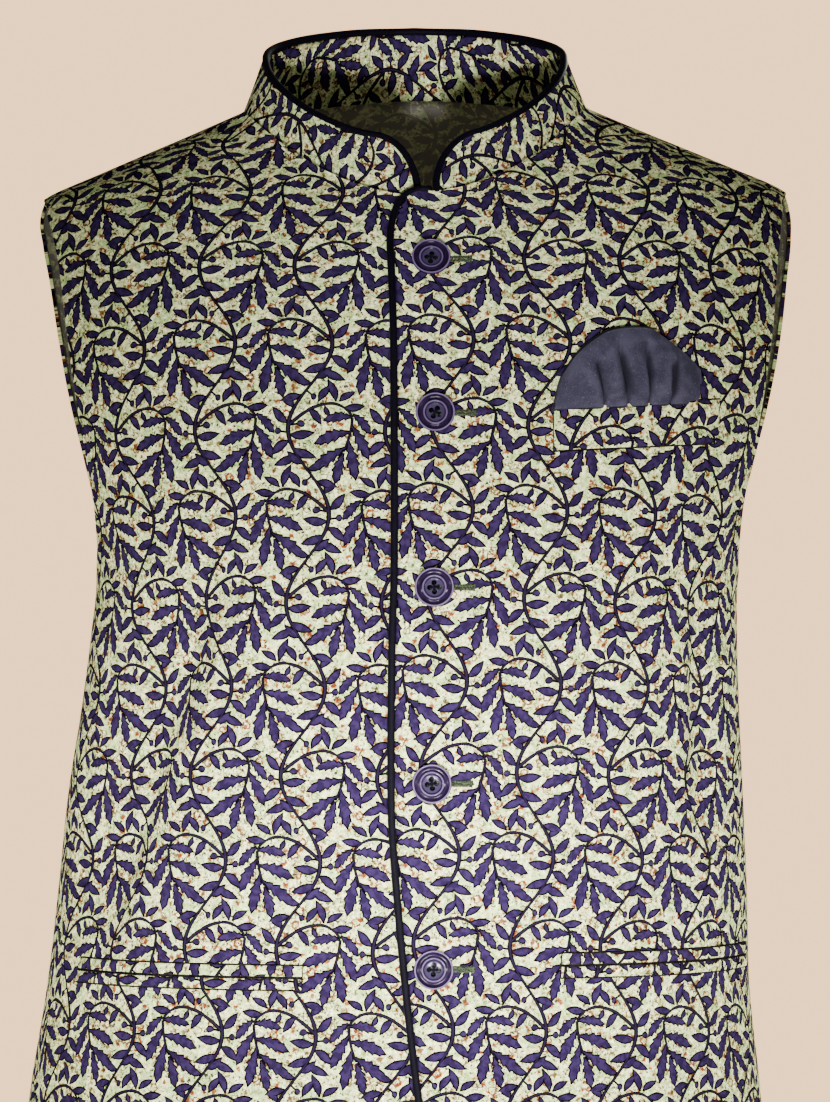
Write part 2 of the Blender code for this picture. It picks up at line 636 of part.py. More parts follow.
def make_front_piping(form):
    """The piping along each front's edge and rounded hem corner, and round the left one's neck corner. The right
    cord starts where the left front's cutaway uncovers it."""
    for name, hand in (("front_piping", 1), ("front_piping_right", -1)):
        grid = front_grid(form, hand)
        rows = joined(grid[0, ::-1], grid[:, 0], grid[-1])
        girth, z = hand * rows[:, 0], rows[:, 1]
        raised = lap(girth, z) if hand > 0 else 0.0
        middle = halved(form.lift(FRONT, girth, z, raised - CLOTH / 2))
        out = halved(form.normal(FRONT, girth, z))
        rows = halved(rows)
        away = rows[:, 0] - hand * closure(rows[:, 1])
        kept = away < np.where(rows[:, 1] < UNDERARM, PIPING_HEM_END, PIPING_STOP)
        if hand < 0:
            kept &= rows[:, 1] < RIGHT_PIPING_TOP
        off_cloth = middle[kept][0] - form.lift(FRONT, hand * (rows[kept][0, 0] + 0.01), rows[kept][0, 1] - 0.01)
        path = edge_path(middle[kept], out[kept], off_cloth)
        tube(name, path, PIPING_RADIUS, "navy")


def make_buttons(form):
    """Five dished buttons with four holes, each square to the cloth under it."""
    profile = (
        (0.0, BUTTON_HEIGHT * 0.55),
        (BUTTON_DISH * 0.82, BUTTON_HEIGHT * 0.55),
        (BUTTON_DISH, BUTTON_HEIGHT * 0.78),
        (BUTTON_RADIUS * 0.80, BUTTON_HEIGHT * 0.80),
        (BUTTON_RADIUS * 0.90, BUTTON_HEIGHT),
        (BUTTON_RADIUS * 0.98, BUTTON_HEIGHT * 0.90),
        (BUTTON_RADIUS, BUTTON_HEIGHT * 0.66),
        (BUTTON_RADIUS * 0.94, BUTTON_HEIGHT * 0.30),
        (BUTTON_RADIUS * 0.72, 0.0),
        (0.0, 0.0),
    )
    work = bmesh.new()
    verts = [work.verts.new((r, 0, h)) for r, h in profile]
    edges = [work.edges.new(pair) for pair in zip(verts, verts[1:])]
    bmesh.ops.spin(
        work, geom=verts + edges, cent=(0, 0, 0), axis=(0, 0, 1), angle=2 * math.pi, steps=BUTTON_STEPS
    )
    bmesh.ops.remove_doubles(work, verts=work.verts, dist=1e-6)
    bmesh.ops.recalc_face_normals(work, faces=work.faces)
    mesh = bpy.data.meshes.new("button")
    work.to_mesh(mesh)
    work.free()
    mesh.materials.append(material("button"))
    drill = bmesh.new()
    for k in range(4):
        spot = Vector((BUTTON_HOLE_OFF, 0, BUTTON_HEIGHT / 2))
        spot.rotate(Matrix.Rotation(math.pi * (0.25 + k / 2), 3, "Z"))
        bmesh.ops.create_cone(
            drill,
            cap_ends=True,
            segments=8,
            radius1=BUTTON_HOLE,
            radius2=BUTTON_HOLE,
            depth=3 * BUTTON_HEIGHT,
            matrix=Matrix.Translation(spot),
        )
    drill_mesh = bpy.data.meshes.new("button_drill")
    drill.to_mesh(drill_mesh)
    drill.free()
    for number, z in enumerate(BUTTON_HEIGHTS, start=1):
        girth = closure(z)
        where = (FRONT, np.array(girth), np.array(z))
        out = Vector(form.normal(*where))
        seat = Vector(form.lift(*where, lap(girth, z) + BUTTON_SEAT))
        turned = out.to_track_quat("Z", "Y").to_matrix().to_4x4()
        button = bpy.data.objects.new(f"button_{number}", mesh)
        cutter = bpy.data.objects.new(f"button_drill_{number}", drill_mesh)
        for made in (button, cutter):
            bpy.context.scene.collection.objects.link(made)
            made.matrix_world = Matrix.Translation(seat) @ turned
        cutter.hide_render = True
        cutter.display_type = "WIRE"
        cut = button.modifiers.new("holes", "BOOLEAN")
        cut.operation = "DIFFERENCE"
        cut.object = cutter


def welt(form, name, hand, start, width, top, tall, rise, columns, rows=2):
    """A narrow strip of doubled cloth on a front, made from the front's own points, moved out."""
    s = np.linspace(0, 1, columns + 1)[None, :]
    t = np.linspace(0, 1, rows + 1)[:, None]
    z = top + rise * s - tall * t
    girth = hand * (start + width * s + 0 * t)
    raised = (lap(girth, z) if hand > 0 else 0.0) + SEAM_GAP
    outer = form.lift(FRONT, girth, z, raised + WELT)
    inner = form.lift(FRONT, girth, z, raised)
    wall(name, outer, inner, "print")


def make_pockets(form):
    welt(
        form, "breast_welt", 1, BREAST_START, BREAST_WIDTH, BREAST_TOP, BREAST_TALL, BREAST_RISE, 14, 3
    )
    for name, hand in (("left", 1), ("right", -1)):
        start = HIP_START + hand * closure(HIP_HEIGHTS[name])
        for row, level in (("upper", 0.5), ("lower", -0.5)):
            top = HIP_HEIGHTS[name] + HIP_WELT / 2 + level * (HIP_WELT + SEAM_GAP)
            welt(form, f"hip_welt_{name}_{row}", hand, start, HIP_WIDTH, top, HIP_WELT, 0.0, 20, 1)


def make_square(form, columns=30, rows=7):
    """The puffed pocket cloth: a low dome above the breast welt, with soft upright pleats."""
    s = np.linspace(0, 1, columns + 1)[None, :]
    t = np.linspace(0, 1, rows + 1)[:, None]
    tall = 0.004 + (SQUARE_TALL - 0.004) * (1 - np.abs(2 * s - 0.94) ** 2.2 / 1.16) ** 0.75
    girth = BREAST_START + SQUARE_WIDTH * (s + 0.03 * np.sin(math.pi * s) * t)
    z = BREAST_TOP + BREAST_RISE * s * SQUARE_WIDTH / BREAST_WIDTH + SEAM_GAP + tall * (1 - t)
    dome = np.sin(math.pi * np.clip(s, 0.02, 0.98)) ** 0.6 * np.sin(math.pi * (0.12 + 0.5 * t)) ** 0.8
    pleats = 0.5 + 0.5 * np.cos(2 * math.pi * (4.5 * s + 0.1 + 0.25 * t))
    raised = lap(girth, z) + SEAM_GAP
    out = 0.0012 + SQUARE_PUFF * dome * (0.62 + 0.38 * pleats * smooth_step(t, 0.05, 0.5))
    outer = form.lift(FRONT, girth, z, raised + out)
    inner = form.lift(FRONT, girth, z, raised)
    wall("pocket_square", outer, inner, "square")


def main():
    for old in list(bpy.data.objects):
        bpy.data.objects.remove(old)
    form = Form()
    make_fronts(form)
    make_back(form)
    make_collar(form)
    make_front_piping(form)
    make_buttons(form)
    make_pockets(form)
    make_square(form)


main()
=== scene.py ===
"""The looks of a nehru jacket: printed cloth on the worn form, a stand collar, navy cord along the edges, dished
buttons, welt pockets and a puffed pocket cloth.

Metres, +Z up, the front faces -Y and the wearer's left is +X. A place on the cloth is a girth, which is the length
along the form's ring from the centre line, and a height. A piece's hand is 1 on the left front, -1 on the right one
and 0 on the back. The form, its tables and the cut are the source's own.
"""

import math
from types import SimpleNamespace

import bmesh
import bpy
import numpy as np
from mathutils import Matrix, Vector


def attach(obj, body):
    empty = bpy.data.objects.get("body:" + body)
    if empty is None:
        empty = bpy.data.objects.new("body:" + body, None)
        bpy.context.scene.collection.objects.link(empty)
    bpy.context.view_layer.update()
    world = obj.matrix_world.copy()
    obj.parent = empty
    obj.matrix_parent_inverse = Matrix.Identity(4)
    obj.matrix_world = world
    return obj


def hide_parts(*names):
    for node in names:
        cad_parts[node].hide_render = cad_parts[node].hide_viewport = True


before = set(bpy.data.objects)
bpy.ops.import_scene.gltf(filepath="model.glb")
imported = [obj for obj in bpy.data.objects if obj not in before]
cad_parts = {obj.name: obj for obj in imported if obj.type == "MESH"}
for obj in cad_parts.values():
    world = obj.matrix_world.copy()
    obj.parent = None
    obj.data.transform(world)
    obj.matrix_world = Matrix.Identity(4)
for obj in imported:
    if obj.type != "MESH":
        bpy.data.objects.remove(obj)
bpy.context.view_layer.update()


def by_column(names, *rows):
    """A table's columns, by name."""
    return {name: np.array(values, float) for name, values in zip(names.split(), zip(*rows))}


def by_row(names, *rows):
    """A table's rows, each with its values by the columns' names."""
    return [SimpleNamespace(**dict(zip(names.split(), row))) for row in rows]


FRONT, BACK = -1, 1  # the two sides, by the sign of their Y
SIDE = {1: FRONT, -1: FRONT, 0: BACK}  # by a piece's hand

# Sizes of the cut and the cloth
CLOTH = 0.002  # wall of shell and interlining
SEAM_GAP = 0.0003
HEM, HEM_BACK_DROP = -0.7, 0.006
SHOULDER_TIP, UNDERARM = -0.0435, -0.24
NECK_HALF_WIDTH, FRONT_NECK_DROP, BACK_NECK_RISE = 0.088, 0.0495, 0.01
ARMHOLE_DEEP = {FRONT: 0.06, BACK: 0.046}  # how far the armhole is scooped from the side line
ARMHOLE_BLUNT = 0.7  # below 1 the armhole's ends are rounder than an oval's
SHOULDER_DROOP = 0.004  # the right shoulder hangs this much lower

# Front closure and edges
OVERLAP = 0.018  # from the button line to the cloth's edge
LAP_RAISE, LAP_FLAT, LAP_END = 0.0035, 0.024, 0.06  # the left front lies over the right one
CORNER_ACROSS, CORNER_DOWN = 0.015, 0.027  # the rounded top corner of a front's edge
CORNER_CLEAR = 0.003  # the neck seam starts this far beyond that corner
CORD_RADIUS, CORD_OFF = 0.002, 0.0018
CORD_STOP, CORD_HEM_END = 0.0022, 0.104  # the cord's ends at the neck and the hem, from the button line
RIGHT_CORD_TOP = -0.47
EDGE_ROUND, BAND_ROUND, WELT_ROUND = 0.42, 0.3, 0.2  # how far an edge stands out, as a share of the wall

# Collar
COLLAR_WALL, COLLAR_ROUND = 0.0026, 0.025
COLLAR_FIRST = 0.0004  # from the neck seam to the collar's foot
COLLAR_END = 0.0064  # each end of the collar stands this far from the button line
COLLAR_CROWD = 0.55  # draws the collar's columns towards its ends
RIM_FRONT, RIM_BACK = 0.068, 0.066

# Pockets
WELT, WELT_FOOT, WELT_SUNK = 0.0014, 0.0005, 0.0012
BREAST_START, BREAST_WIDTH, BREAST_TALL = 0.0662, 0.0905, 0.0225
BREAST_TOP, BREAST_RISE = -0.1555, 0.0045
HIP_START, HIP_WIDTH, HIP_WELT = 0.0645, 0.136, 0.0062
HIP_HEIGHTS = {"left": -0.431, "right": -0.4365}
SQUARE_WIDTH, SQUARE_TALL, SQUARE_PUFF, SQUARE_LEAN = 0.0765, 0.0355, 0.0085, 0.03
SQUARE_FOOT, SQUARE_BACK = 0.0012, 0.001
FLAP_WIDE, FLAP_TALL, FLAP_DEEP = 0.09, 0.55, 0.0014  # the corner that turns under
TUCK = 0.0025  # how far the pocket cloth goes down behind the welt
PLEAT_RUN = 0.25  # the share of the height over which a pleat deepens

# Buttons, their threads and their buttonholes
BUTTON_RADIUS, BUTTON_HEIGHT, BUTTON_SEAT = 0.0097, 0.0034, 0.0004
BUTTON_HEIGHTS = (-0.084, -0.1595, -0.245, -0.341, -0.432)
BUTTON_TURNS = (36, 18, 48, 53, 40)
BUTTON_RINGS, BUTTON_STEPS = 52, 112
HOLE_OFF, HOLE_RADIUS, HOLE_DEEP = 0.00155, 0.0012, 0.0018
THREAD_RADIUS, THREAD_REACH, THREAD_DIP = 0.00028, 1.12, 0.0022
THREAD_OFF = 0.95 * THREAD_RADIUS / math.sqrt(2)  # the two threads of a pair lie this far to either side, along X
SLOT_LONG, SLOT_WIDE, SLOT_START, SLOT_THREAD, STITCH = 0.02, 0.0016, 0.0015, 0.00074, 0.0007

# The worn form. The half width and the depths are measured from the ring's middle, and sway moves the ring across.
STATIONS = by_column(
    "height half_width front_depth back_depth front_power back_power sway",
    (0.02, 0.04, 0.033, 0.06, 2.2, 2.3, 0),
    (0.01, 0.064, 0.038, 0.068, 2.2, 2.3, 0),
    (0, 0.088, 0.043, 0.0755, 2.2, 2.3, 0),
    (-0.01, 0.112, 0.0495, 0.082, 2.2, 2.3, 0),
    (-0.02, 0.136, 0.0565, 0.088, 2.2, 2.3, 0),
    (-0.03, 0.16, 0.064, 0.0935, 2.2, 2.3, 0),
    (-0.0435, 0.19, 0.0755, 0.1005, 2.2, 2.35, 0),
    (-0.052, 0.1965, 0.082, 0.1045, 2.22, 2.35, 0),
    (-0.065, 0.1985, 0.0905, 0.1095, 2.25, 2.4, 0.001),
    (-0.085, 0.1978, 0.101, 0.116, 2.28, 2.4, 0.0018),
    (-0.11, 0.1952, 0.111, 0.122, 2.32, 2.45, 0.0024),
    (-0.15, 0.1875, 0.119, 0.127, 2.38, 2.5, 0.0024),
    (-0.18, 0.179, 0.123, 0.1275, 2.4, 2.5, 0.0022),
    (-0.21, 0.17, 0.126, 0.126, 2.42, 2.5, 0.0018),
    (-0.24, 0.1642, 0.1285, 0.1235, 2.42, 2.5, 0.0012),
    (-0.27, 0.1652, 0.13, 0.12, 2.42, 2.45, -0.0005),
    (-0.3, 0.1675, 0.131, 0.1165, 2.4, 2.4, -0.002),
    (-0.35, 0.1725, 0.1315, 0.113, 2.38, 2.35, -0.0048),
    (-0.4, 0.1762, 0.132, 0.114, 2.36, 2.3, -0.0064),
    (-0.45, 0.1798, 0.1325, 0.1185, 2.34, 2.3, -0.0086),
    (-0.5, 0.1865, 0.1335, 0.124, 2.32, 2.3, -0.01),
    (-0.6, 0.195, 0.137, 0.132, 2.3, 2.3, -0.011),
    (-0.72, 0.2035, 0.14, 0.137, 2.28, 2.3, -0.012),
)

# The button line, as a girth on the form, and how far the front edge is cut away from its straight run.
CLOSURE = by_column(
    "height girth",
    *((0.02, 0.006), (-0.084, 0.0062), (-0.16, 0.0076), (-0.245, 0.0084)),
    *((-0.341, 0.0125), (-0.432, 0.0168), (-0.5, 0.019), (-0.72, 0.022)),
)
CUTAWAY = by_column(
    "away height",
    *((0, -FRONT_NECK_DROP - CORNER_DOWN), (0, -0.12), (0, -0.2), (0, -0.27), (0, -0.34)),
    *((0.0006, -0.37), (0.0024, -0.4), (0.0073, -0.45), (0.0132, -0.5), (0.0215, -0.55)),
    *((0.033, -0.6), (0.0455, -0.64), (0.061, -0.67), (0.082, -0.69), (0.115, -0.7)),
)
CUTAWAY_CORNER = 12  # the row where the front edge turns into the hem

# The collar's rim, by the angle round the neck from the front: how far across it stands and how high.
RIM = by_column(
    "degrees across height",
    *((0, 0.0775, -0.0206), (20, 0.0775, -0.0192), (45, 0.078, -0.008), (70, 0.0785, 0.0105)),
    *((90, 0.0785, 0.024), (115, 0.078, 0.0345), (145, 0.0775, 0.041), (180, 0.0775, 0.043)),
)

# Soft folds: one side falls in steeply and the other runs out slowly.
FOLDS = by_row(
    "side girth_top top girth_low low depth steep slow",
    (FRONT, -0.11, -0.245, -0.168, -0.42, 0.012, 0.017, 0.042),
    (FRONT, 0.16, -0.25, 0.166, -0.36, 0.007, 0.011, 0.02),
    (FRONT, -0.158, -0.5, -0.176, -0.65, 0.004, 0.014, 0.026),
    (FRONT, 0.155, -0.48, 0.172, -0.65, 0.0035, 0.014, 0.026),
    (FRONT, 0.085, -0.4, 0.095, -0.7, 0.0028, 0.02, 0.045),
    (FRONT, -0.075, -0.43, -0.085, -0.7, 0.0028, 0.02, 0.045),
    (BACK, 0.098, -0.27, 0.132, -0.42, 0.005, 0.013, 0.032),
    (BACK, -0.104, -0.275, -0.126, -0.43, 0.0045, 0.013, 0.032),
    (BACK, 0.036, -0.47, 0.052, -0.66, 0.0035, 0.014, 0.032),
    (BACK, -0.06, -0.5, -0.074, -0.66, 0.003, 0.014, 0.032),
)
FOLD_ENDS, FOLD_RUN = 0.045, 0.3  # how softly a fold starts and stops, and how far its line runs on
SEAM_QUIET = 0.02  # folds die out this near a side line

# A button's face, from its middle, and its underside, as shares of the radius and the height
FACE = by_column(
    "radius height",
    *((0, 0.00175), (0.0032, 0.0018), (0.0045, 0.00205), (0.0052, 0.00255), (0.0057, 0.00268), (0.0062, 0.0025)),
    *((0.0068, 0.00222), (0.0076, 0.00228), (0.0084, 0.00275), (0.0089, 0.0032), (0.0092, 0.0033)),
    *((0.0095, 0.0031), (0.0097, 0.0024)),
)
UNDERSIDE = np.array([(0.985, 0.42), (0.9, 0.16), (0.7, 0.0), (0.0, 0.0)])

# The puffed pocket cloth: its outline, and its pleats, as shares of its width and height
PUFF_TOP = by_column(
    "place height",
    *((0, 0.06), (0.03, 0.3), (0.09, 0.53), (0.17, 0.73), (0.26, 0.87), (0.35, 0.97), (0.45, 1), (0.56, 1)),
    *((0.65, 0.96), (0.72, 0.86), (0.83, 0.7), (0.95, 0.5), (1, 0.4)),
)
PLEATS = by_row(
    "foot head bow steep slow deep starts",
    (0.31, 0.225, 0.012, 0.022, 0.03, 0.85, 0.24),
    (0.465, 0.405, -0.006, 0.024, 0.034, 0.95, 0.1),
    (0.603, 0.6, -0.01, 0.013, 0.052, 0.9, 0.12),
    (0.76, 0.8, -0.008, 0.014, 0.02, 0.75, 0.2),
)

# The grids, finer than the source's. Cells: to the neck's shoulder point, on to the tip, above the underarm and below.
CELLS = {FRONT: (60, 48, 64, 116), BACK: (40, 40, 56, 72)}
CORNER_CROWD = 1.25  # draws a front's columns and rows towards its top corner
BOW_FADE, RELAX_STEPS, RELAX_SHARE = 2.0, 200, 0.8
FLAT_SKIP, FLAT_STEPS, FLAT_SHARE = 4, 1500, 1.4
TABLE_ROWS, TABLE_STEPS, ARC_STEPS = 361, 161, 721
NORMAL_STEP = 0.0015
CLOTH_RUN = "cloth_run"
FINISHES = {}  # materials by the name of their finish

# Colours, as linear red, green and blue
CREAM, GREEN, PALE, MOSS = (0.68, 0.69, 0.32), (0.42, 0.56, 0.2), (0.91, 0.97, 0.59), (0.2, 0.25, 0.09)
TAN, RUST, RUST_PALE, SPECK = (0.13, 0.085, 0.03), (0.16, 0.029, 0.008), (0.22, 0.062, 0.018), (0.018, 0.016, 0.01)
LEAF, LEAF_DEEP, OUTLINE = (0.025, 0.0145, 0.05), (0.0135, 0.0077, 0.0275), (0.0015, 0.001, 0.0016)
STEM, WRONG_SIDE = (0.0125, 0.0078, 0.0215), (0.38, 0.36, 0.28)
NAVY, NAVY_DEEP = (0.003, 0.0024, 0.0052), (0.0016, 0.0012, 0.0028)
# Painted shadow lines along the welts' edges: a dark tone and a paler one, mixed by a noise
SEAM_SHADE, SEAM_SHADE_PALE = (0.0035, 0.003, 0.0035), (0.02, 0.016, 0.014)
POCKET, POCKET_DEEP, LINT = (0.041, 0.038, 0.059), (0.024, 0.0218, 0.037), (0.13, 0.124, 0.16)
# Painted shade in the pocket cloth's pleats
PLEAT_SHADE = (0.0075, 0.007, 0.0115)
BUTTON, BUTTON_DEEP = (0.0105, 0.0056, 0.019), (0.0055, 0.003, 0.0105)
# The last colour here is painted shade inside a button's four holes.
BUTTON_RIM, BUTTON_DISH, HOLE_SHADE = (0.17, 0.115, 0.235), (0.06, 0.048, 0.095), (0.0012, 0.0009, 0.0018)
THREAD, THREAD_DEEP = (0.002, 0.0015, 0.003), (0.004, 0.003, 0.006)
SAGE, SAGE_DEEP = (0.062, 0.078, 0.044), (0.008, 0.013, 0.007)

# Noises of the print: cells to a millimetre, detail and roughness
DRIFT, MOTTLE, PATCHES, CROOKED = (0.11, 2.0, 0.6), (0.42, 3.0, 0.6), (0.055, 1.0, 0.5), (0.5, 2.0, 0.6)
LINES, SCRATCHES, INK = (0.17, 1.0, 0.5), (0.45, 1.0, 0.5), (0.3, 1.0, 0.5)
CROOK = 3.2  # how far specks and lines are drawn aside, in millimetres
FLECKS = by_row(
    "cell radius wide chance colour",
    (8, 0, 1.7, 0.5, RUST),
    (10, 1.8, 0.65, 0.5, RUST),
    (5.5, 0, 1.3, 0.5, RUST_PALE),
    (7, 1.4, 0.4, 0.45, TAN),
    (2.9, 0, 0.75, 0.5, SPECK),
    (1.7, 0, 0.48, 0.32, SPECK),
)
WARP, WEFT, THREAD_BUMP = 0.55, 0.42, 0.0003

# The print, in millimetres of cloth. It repeats over this much, and PRINT_SHIFT is in metres.
REPEAT_WIDE, REPEAT_TALL = 48.0, 85.0
PRINT_SHIFT = {1: (-0.016, 0.01), -1: (0.004, 0.01), 0: (0.0, 0.01)}
COLLAR_SHIFT, BREAST_SHIFT = (0.006, 0.004), (0.011, 0.019)

# Half widths along a stroke. Both ends fall below zero, which ends the stroke.
OUTLINES = {
    "holly": [
        *((0, -1), (0.01, 0.2), (0.1, 0.26), (0.24, 0.6024), (0.27, 0.3856), (0.4333, 0.9384), (0.4633, 0.6006)),
        *((0.6267, 0.9737), (0.6567, 0.6232), (0.82, 0.6631), (0.85, 0.4244), (0.985, 0), (1, -1)),
    ],
    "plain": [
        *((0, -1), (0.01, 0.14), (0.09, 0.24), (0.26, 0.74), (0.45, 1), (0.62, 0.92), (0.8, 0.56), (0.98, 0), (1, -1)),
    ],
    "stem": [(0, -1), (0.01, 0.95), (0.06, 1), (0.8, 0.94), (0.985, 0.7), (1, -1)],
    "bud": [(0, -1), (0.01, 0.22), (0.5, 0.22), (0.58, 0.62), (0.68, 0.94), (0.78, 1), (0.9, 0.8), (0.99, 0), (1, -1)],
    # The painted shadow at the foot of a pocket pleat
    "pleat": [(0, 0.6), (0.2, 0.7), (0.45, 1), (0.7, 0.9), (0.9, 0.2), (1, -1)],
}

# The main stem: how far it swings, the height at which it is furthest left, its half width, what forks add to it, and
# how much nearer a slanting stem is than it is straight across
STEM_SWING, STEM_LEFT, STEM_HALF, STEM_FORK, STEM_SLANT = 10.5, 11.0, 0.62, 0.25, 0.88
FOLD = -18.1  # the lowest height of the one side that is drawn, which is half a repeat tall

# The arched side stem, from the main stem to the fan: length, half width and bend of each stroke
ARCH_START = (-10.2, 12.5, 44.0)
ARCH = ((12, 0.82, -0.1), (11, 0.76, -0.24), (8, 0.7, -0.42), (6, 0.64, -0.36))
ARCH_MEET = 0.97  # the share of a stroke at which the next one starts
RIB, RIB_HEADING = (17.5, 0.6, -0.2), 268.0

# The fan's leaves: share of the rib, heading, length, half width, bend
FAN = (
    (0, 170, 14.5, 3.1, 0.3),
    (0.42, 187, 19, 3.6, 0.2),
    (0.86, 209, 20.5, 3.6, 0.1),
    (-0.1, 326, 13.5, 2.9, -0.22),
    (0.24, 306, 19, 3.5, -0.14),
    (0.66, 285, 20.5, 3.6, -0.05),
    (1, 251, 16.5, 3.3, 0.08),
)

# The sprigs on the main stems: kind, which repeat's stem, height, heading, length, half width, bend
SPRIGS = (
    ("plain", 0, 8, -8, 13, 2.4, 0.22),
    ("plain", 0, 1.5, -38, 12.5, 2.4, 0.28),
    ("bud", 0, 12.5, 12, 8.5, 1.7, -0.1),
    ("plain", 0, -9, 4, 9.5, 2.1, 0.3),
    ("plain", 0, -15, -8, 12, 2.2, -0.15),
    ("plain", 1, 21, 120, 9.5, 2.2, 0.26),
    ("plain", 1, 13.5, 148, 11.5, 2.3, -0.24),
    ("plain", 1, 5, 202, 12, 2.4, 0.26),
    ("bud", 1, 9, 172, 7, 1.6, 0.0),
    ("plain", 1, -1.5, 222, 12.5, 2.3, -0.26),
    ("plain", 1, -6.5, 158, 10, 2.1, -0.28),
    ("bud", 1, -12.5, 216, 6.5, 1.5, 0.1),
)

# The sprigs on the arch and on the mirrored arch below: kind, across, up, heading, length, half width, bend
LOOSE = (
    ("plain", -0.6, 20.6, 328, 10, 2.1, -0.3),
    ("plain", 16.6, 21.6, -4, 11, 2.1, 0.16),
    ("plain", 43.6, -18.2, 112, 10.5, 2.1, 0.26),
    ("plain", 35, -18.2, 84, 12, 2.2, -0.26),
    ("plain", 33.5, -18.2, 130, 9.5, 1.9, 0.3),
    ("plain", 7.6, 22.4, 282, 6, 1.4, 0.2),
)

# Room
FLOOR, FLOOR_RADIUS, FLOOR_PAINT = -0.78, 2.0, (0.62, 0.58, 0.52)
ROOM, WALL = (0.16, 0.156, 0.153), (2.5, 1.55, 0.8)
LIT = (0.0, 0.0, -0.335)
WARM, COOL = (1.0, 0.98, 0.97), (0.98, 0.95, 1.06)
LAMPS = by_row(
    "name place size spread power colour aim",
    ("key", (-0.12, -1.35, -0.68), 0.2, 25.5, 1.11, WARM, LIT),
    ("fill", (0.2, -1.35, -0.68), 0.2, 25.5, 0.84, (0.98, 0.98, 1.0), LIT),
    ("low", (0.0, -2.2, -0.62), 0.5, 36.0, 0.09, WARM, (0.0, 0.0, -0.62)),
    ("neck_left", (-0.1, -2.2, -0.7), 0.16, 7.0, 0.125, COOL, (-0.065, 0.0, -0.008)),
    ("neck_right", (0.1, -2.2, -0.7), 0.16, 7.0, 0.14, COOL, (0.065, 0.0, -0.008)),
    ("left", (-1.3, -1.1, -0.5), 0.25, 27.0, 1.05, WARM, (-0.14, 0.0, -0.42)),
    ("right", (1.3, -1.1, -0.5), 0.25, 27.0, 1.05, WARM, (0.14, 0.0, -0.42)),
    ("back", (1.1, 2.5, 0.2), 2.4, 120.0, 80.0, (1.0, 0.98, 0.95), LIT),
)
SENSOR, CAMERA_BACK, CAMERA_HEIGHT, FRAME_TALL = 36.0, 3.0, -0.227, 0.565


def smooth_step(x, low, high):
    t = np.clip((x - low) / (high - low), 0, 1)
    return t * t * (3 - 2 * t)


def unit(vectors):
    return vectors / np.linalg.norm(vectors, axis=-1, keepdims=True)


def lengths(points):
    """The length along a polyline at each of its points."""
    return np.concatenate([[0.0], np.cumsum(np.linalg.norm(np.diff(points, axis=0), axis=1))])


def read_along(values, along, at):
    """Rows of values that lie along a line, read at other places on it."""
    return np.stack([np.interp(at, along, column) for column in values.T], axis=1)


def spaced(curve, count, crowd=1.0):
    """count points along a polyline, evenly, or closer together near its start where crowd is over 1."""
    along = lengths(curve)
    return read_along(curve, along, np.linspace(0, 1, count) ** crowd * along[-1])


def net(columns, rows):
    """The shares across and down a grid, as a row and a column."""
    return np.linspace(0, 1, columns + 1)[None, :], np.linspace(0, 1, rows + 1)[:, None]


def joined(*curves):
    return np.concatenate([curves[0]] + [curve[1:] for curve in curves[1:]])


def through(at, values, where):
    """A smooth curve through (at, values), read at where: cubic spans, each row's slope set by its neighbours."""
    order = np.argsort(at)
    at, values = at[order], values[order]
    spans = np.diff(at)
    steps = np.diff(values) / spans
    inner = (steps[:-1] * spans[1:] + steps[1:] * spans[:-1]) / (spans[:-1] + spans[1:])
    slopes = np.concatenate([steps[:1], inner, steps[-1:]])
    where = np.clip(where, at[0], at[-1])
    i = np.clip(np.searchsorted(at, where, side="right") - 1, 0, len(at) - 2)
    t = (where - at[i]) / spans[i]
    start = values[i] * (1 + 2 * t) * (1 - t) ** 2 + slopes[i] * spans[i] * t * (1 - t) ** 2
    return start + values[i + 1] * t * t * (3 - 2 * t) - slopes[i + 1] * spans[i] * t * t * (1 - t)


# The worn form

HEIGHTS = np.linspace(STATIONS["height"].min(), STATIONS["height"].max(), TABLE_ROWS)


def station(name):
    """A column of STATIONS, read at HEIGHTS."""
    return through(STATIONS["height"], STATIONS[name], HEIGHTS)[:, None]


def half_rings(name):
    """The front or the back half rings: X and Y by height and by share of the quarter ring, and the ring's quarter
    by height. A half ring is a superellipse."""
    turn, share = np.linspace(0, math.pi / 2, ARC_STEPS), np.linspace(0, 1, TABLE_STEPS)
    power = 2 / station(name + "_power")
    x = station("half_width") * np.sin(turn) ** power
    y = station(name + "_depth") * np.abs(np.cos(turn)) ** power
    y[:, -1] = 0.0
    length = np.cumsum(np.hypot(np.diff(x, prepend=x[:, :1]), np.diff(y, prepend=y[:, :1])), axis=1)
    x, y = (np.array([np.interp(share * run[-1], run, row) for run, row in zip(length, table)]) for table in (x, y))
    return x, y, length[:, -1]


RINGS = {FRONT: half_rings("front"), BACK: half_rings("back")}
SWAY = station("sway")[:, 0]


def quarter_at(side, z):
    """The girth from the centre line to the side line."""
    return np.interp(z, HEIGHTS, RINGS[side][2])


def ring_value(table, share, z):
    row = np.clip((z - HEIGHTS[0]) / (HEIGHTS[-1] - HEIGHTS[0]), 0, 1) * (TABLE_ROWS - 1)
    col = np.clip(share, 0, 1) * (TABLE_STEPS - 1)
    i = np.minimum(row.astype(int), TABLE_ROWS - 2)
    j = np.minimum(col.astype(int), TABLE_STEPS - 2)
    f, g = row - i, col - j
    low = table[i, j] * (1 - g) + table[i, j + 1] * g
    return low * (1 - f) + (table[i + 1, j] * (1 - g) + table[i + 1, j + 1] * g) * f


def place(side, girth, z):
    """The point of the bare form at a girth and a height."""
    share = np.abs(girth) / quarter_at(side, z)
    x = np.sign(girth) * ring_value(RINGS[side][0], share, z) + np.interp(z, HEIGHTS, SWAY)
    y = side * ring_value(RINGS[side][1], share, z)
    droop = SHOULDER_DROOP * np.clip(-x / NECK_HALF_WIDTH / 2, 0, 1) * smooth_step(z, UNDERARM, 0)
    return np.stack([x, y, z - droop], axis=-1)


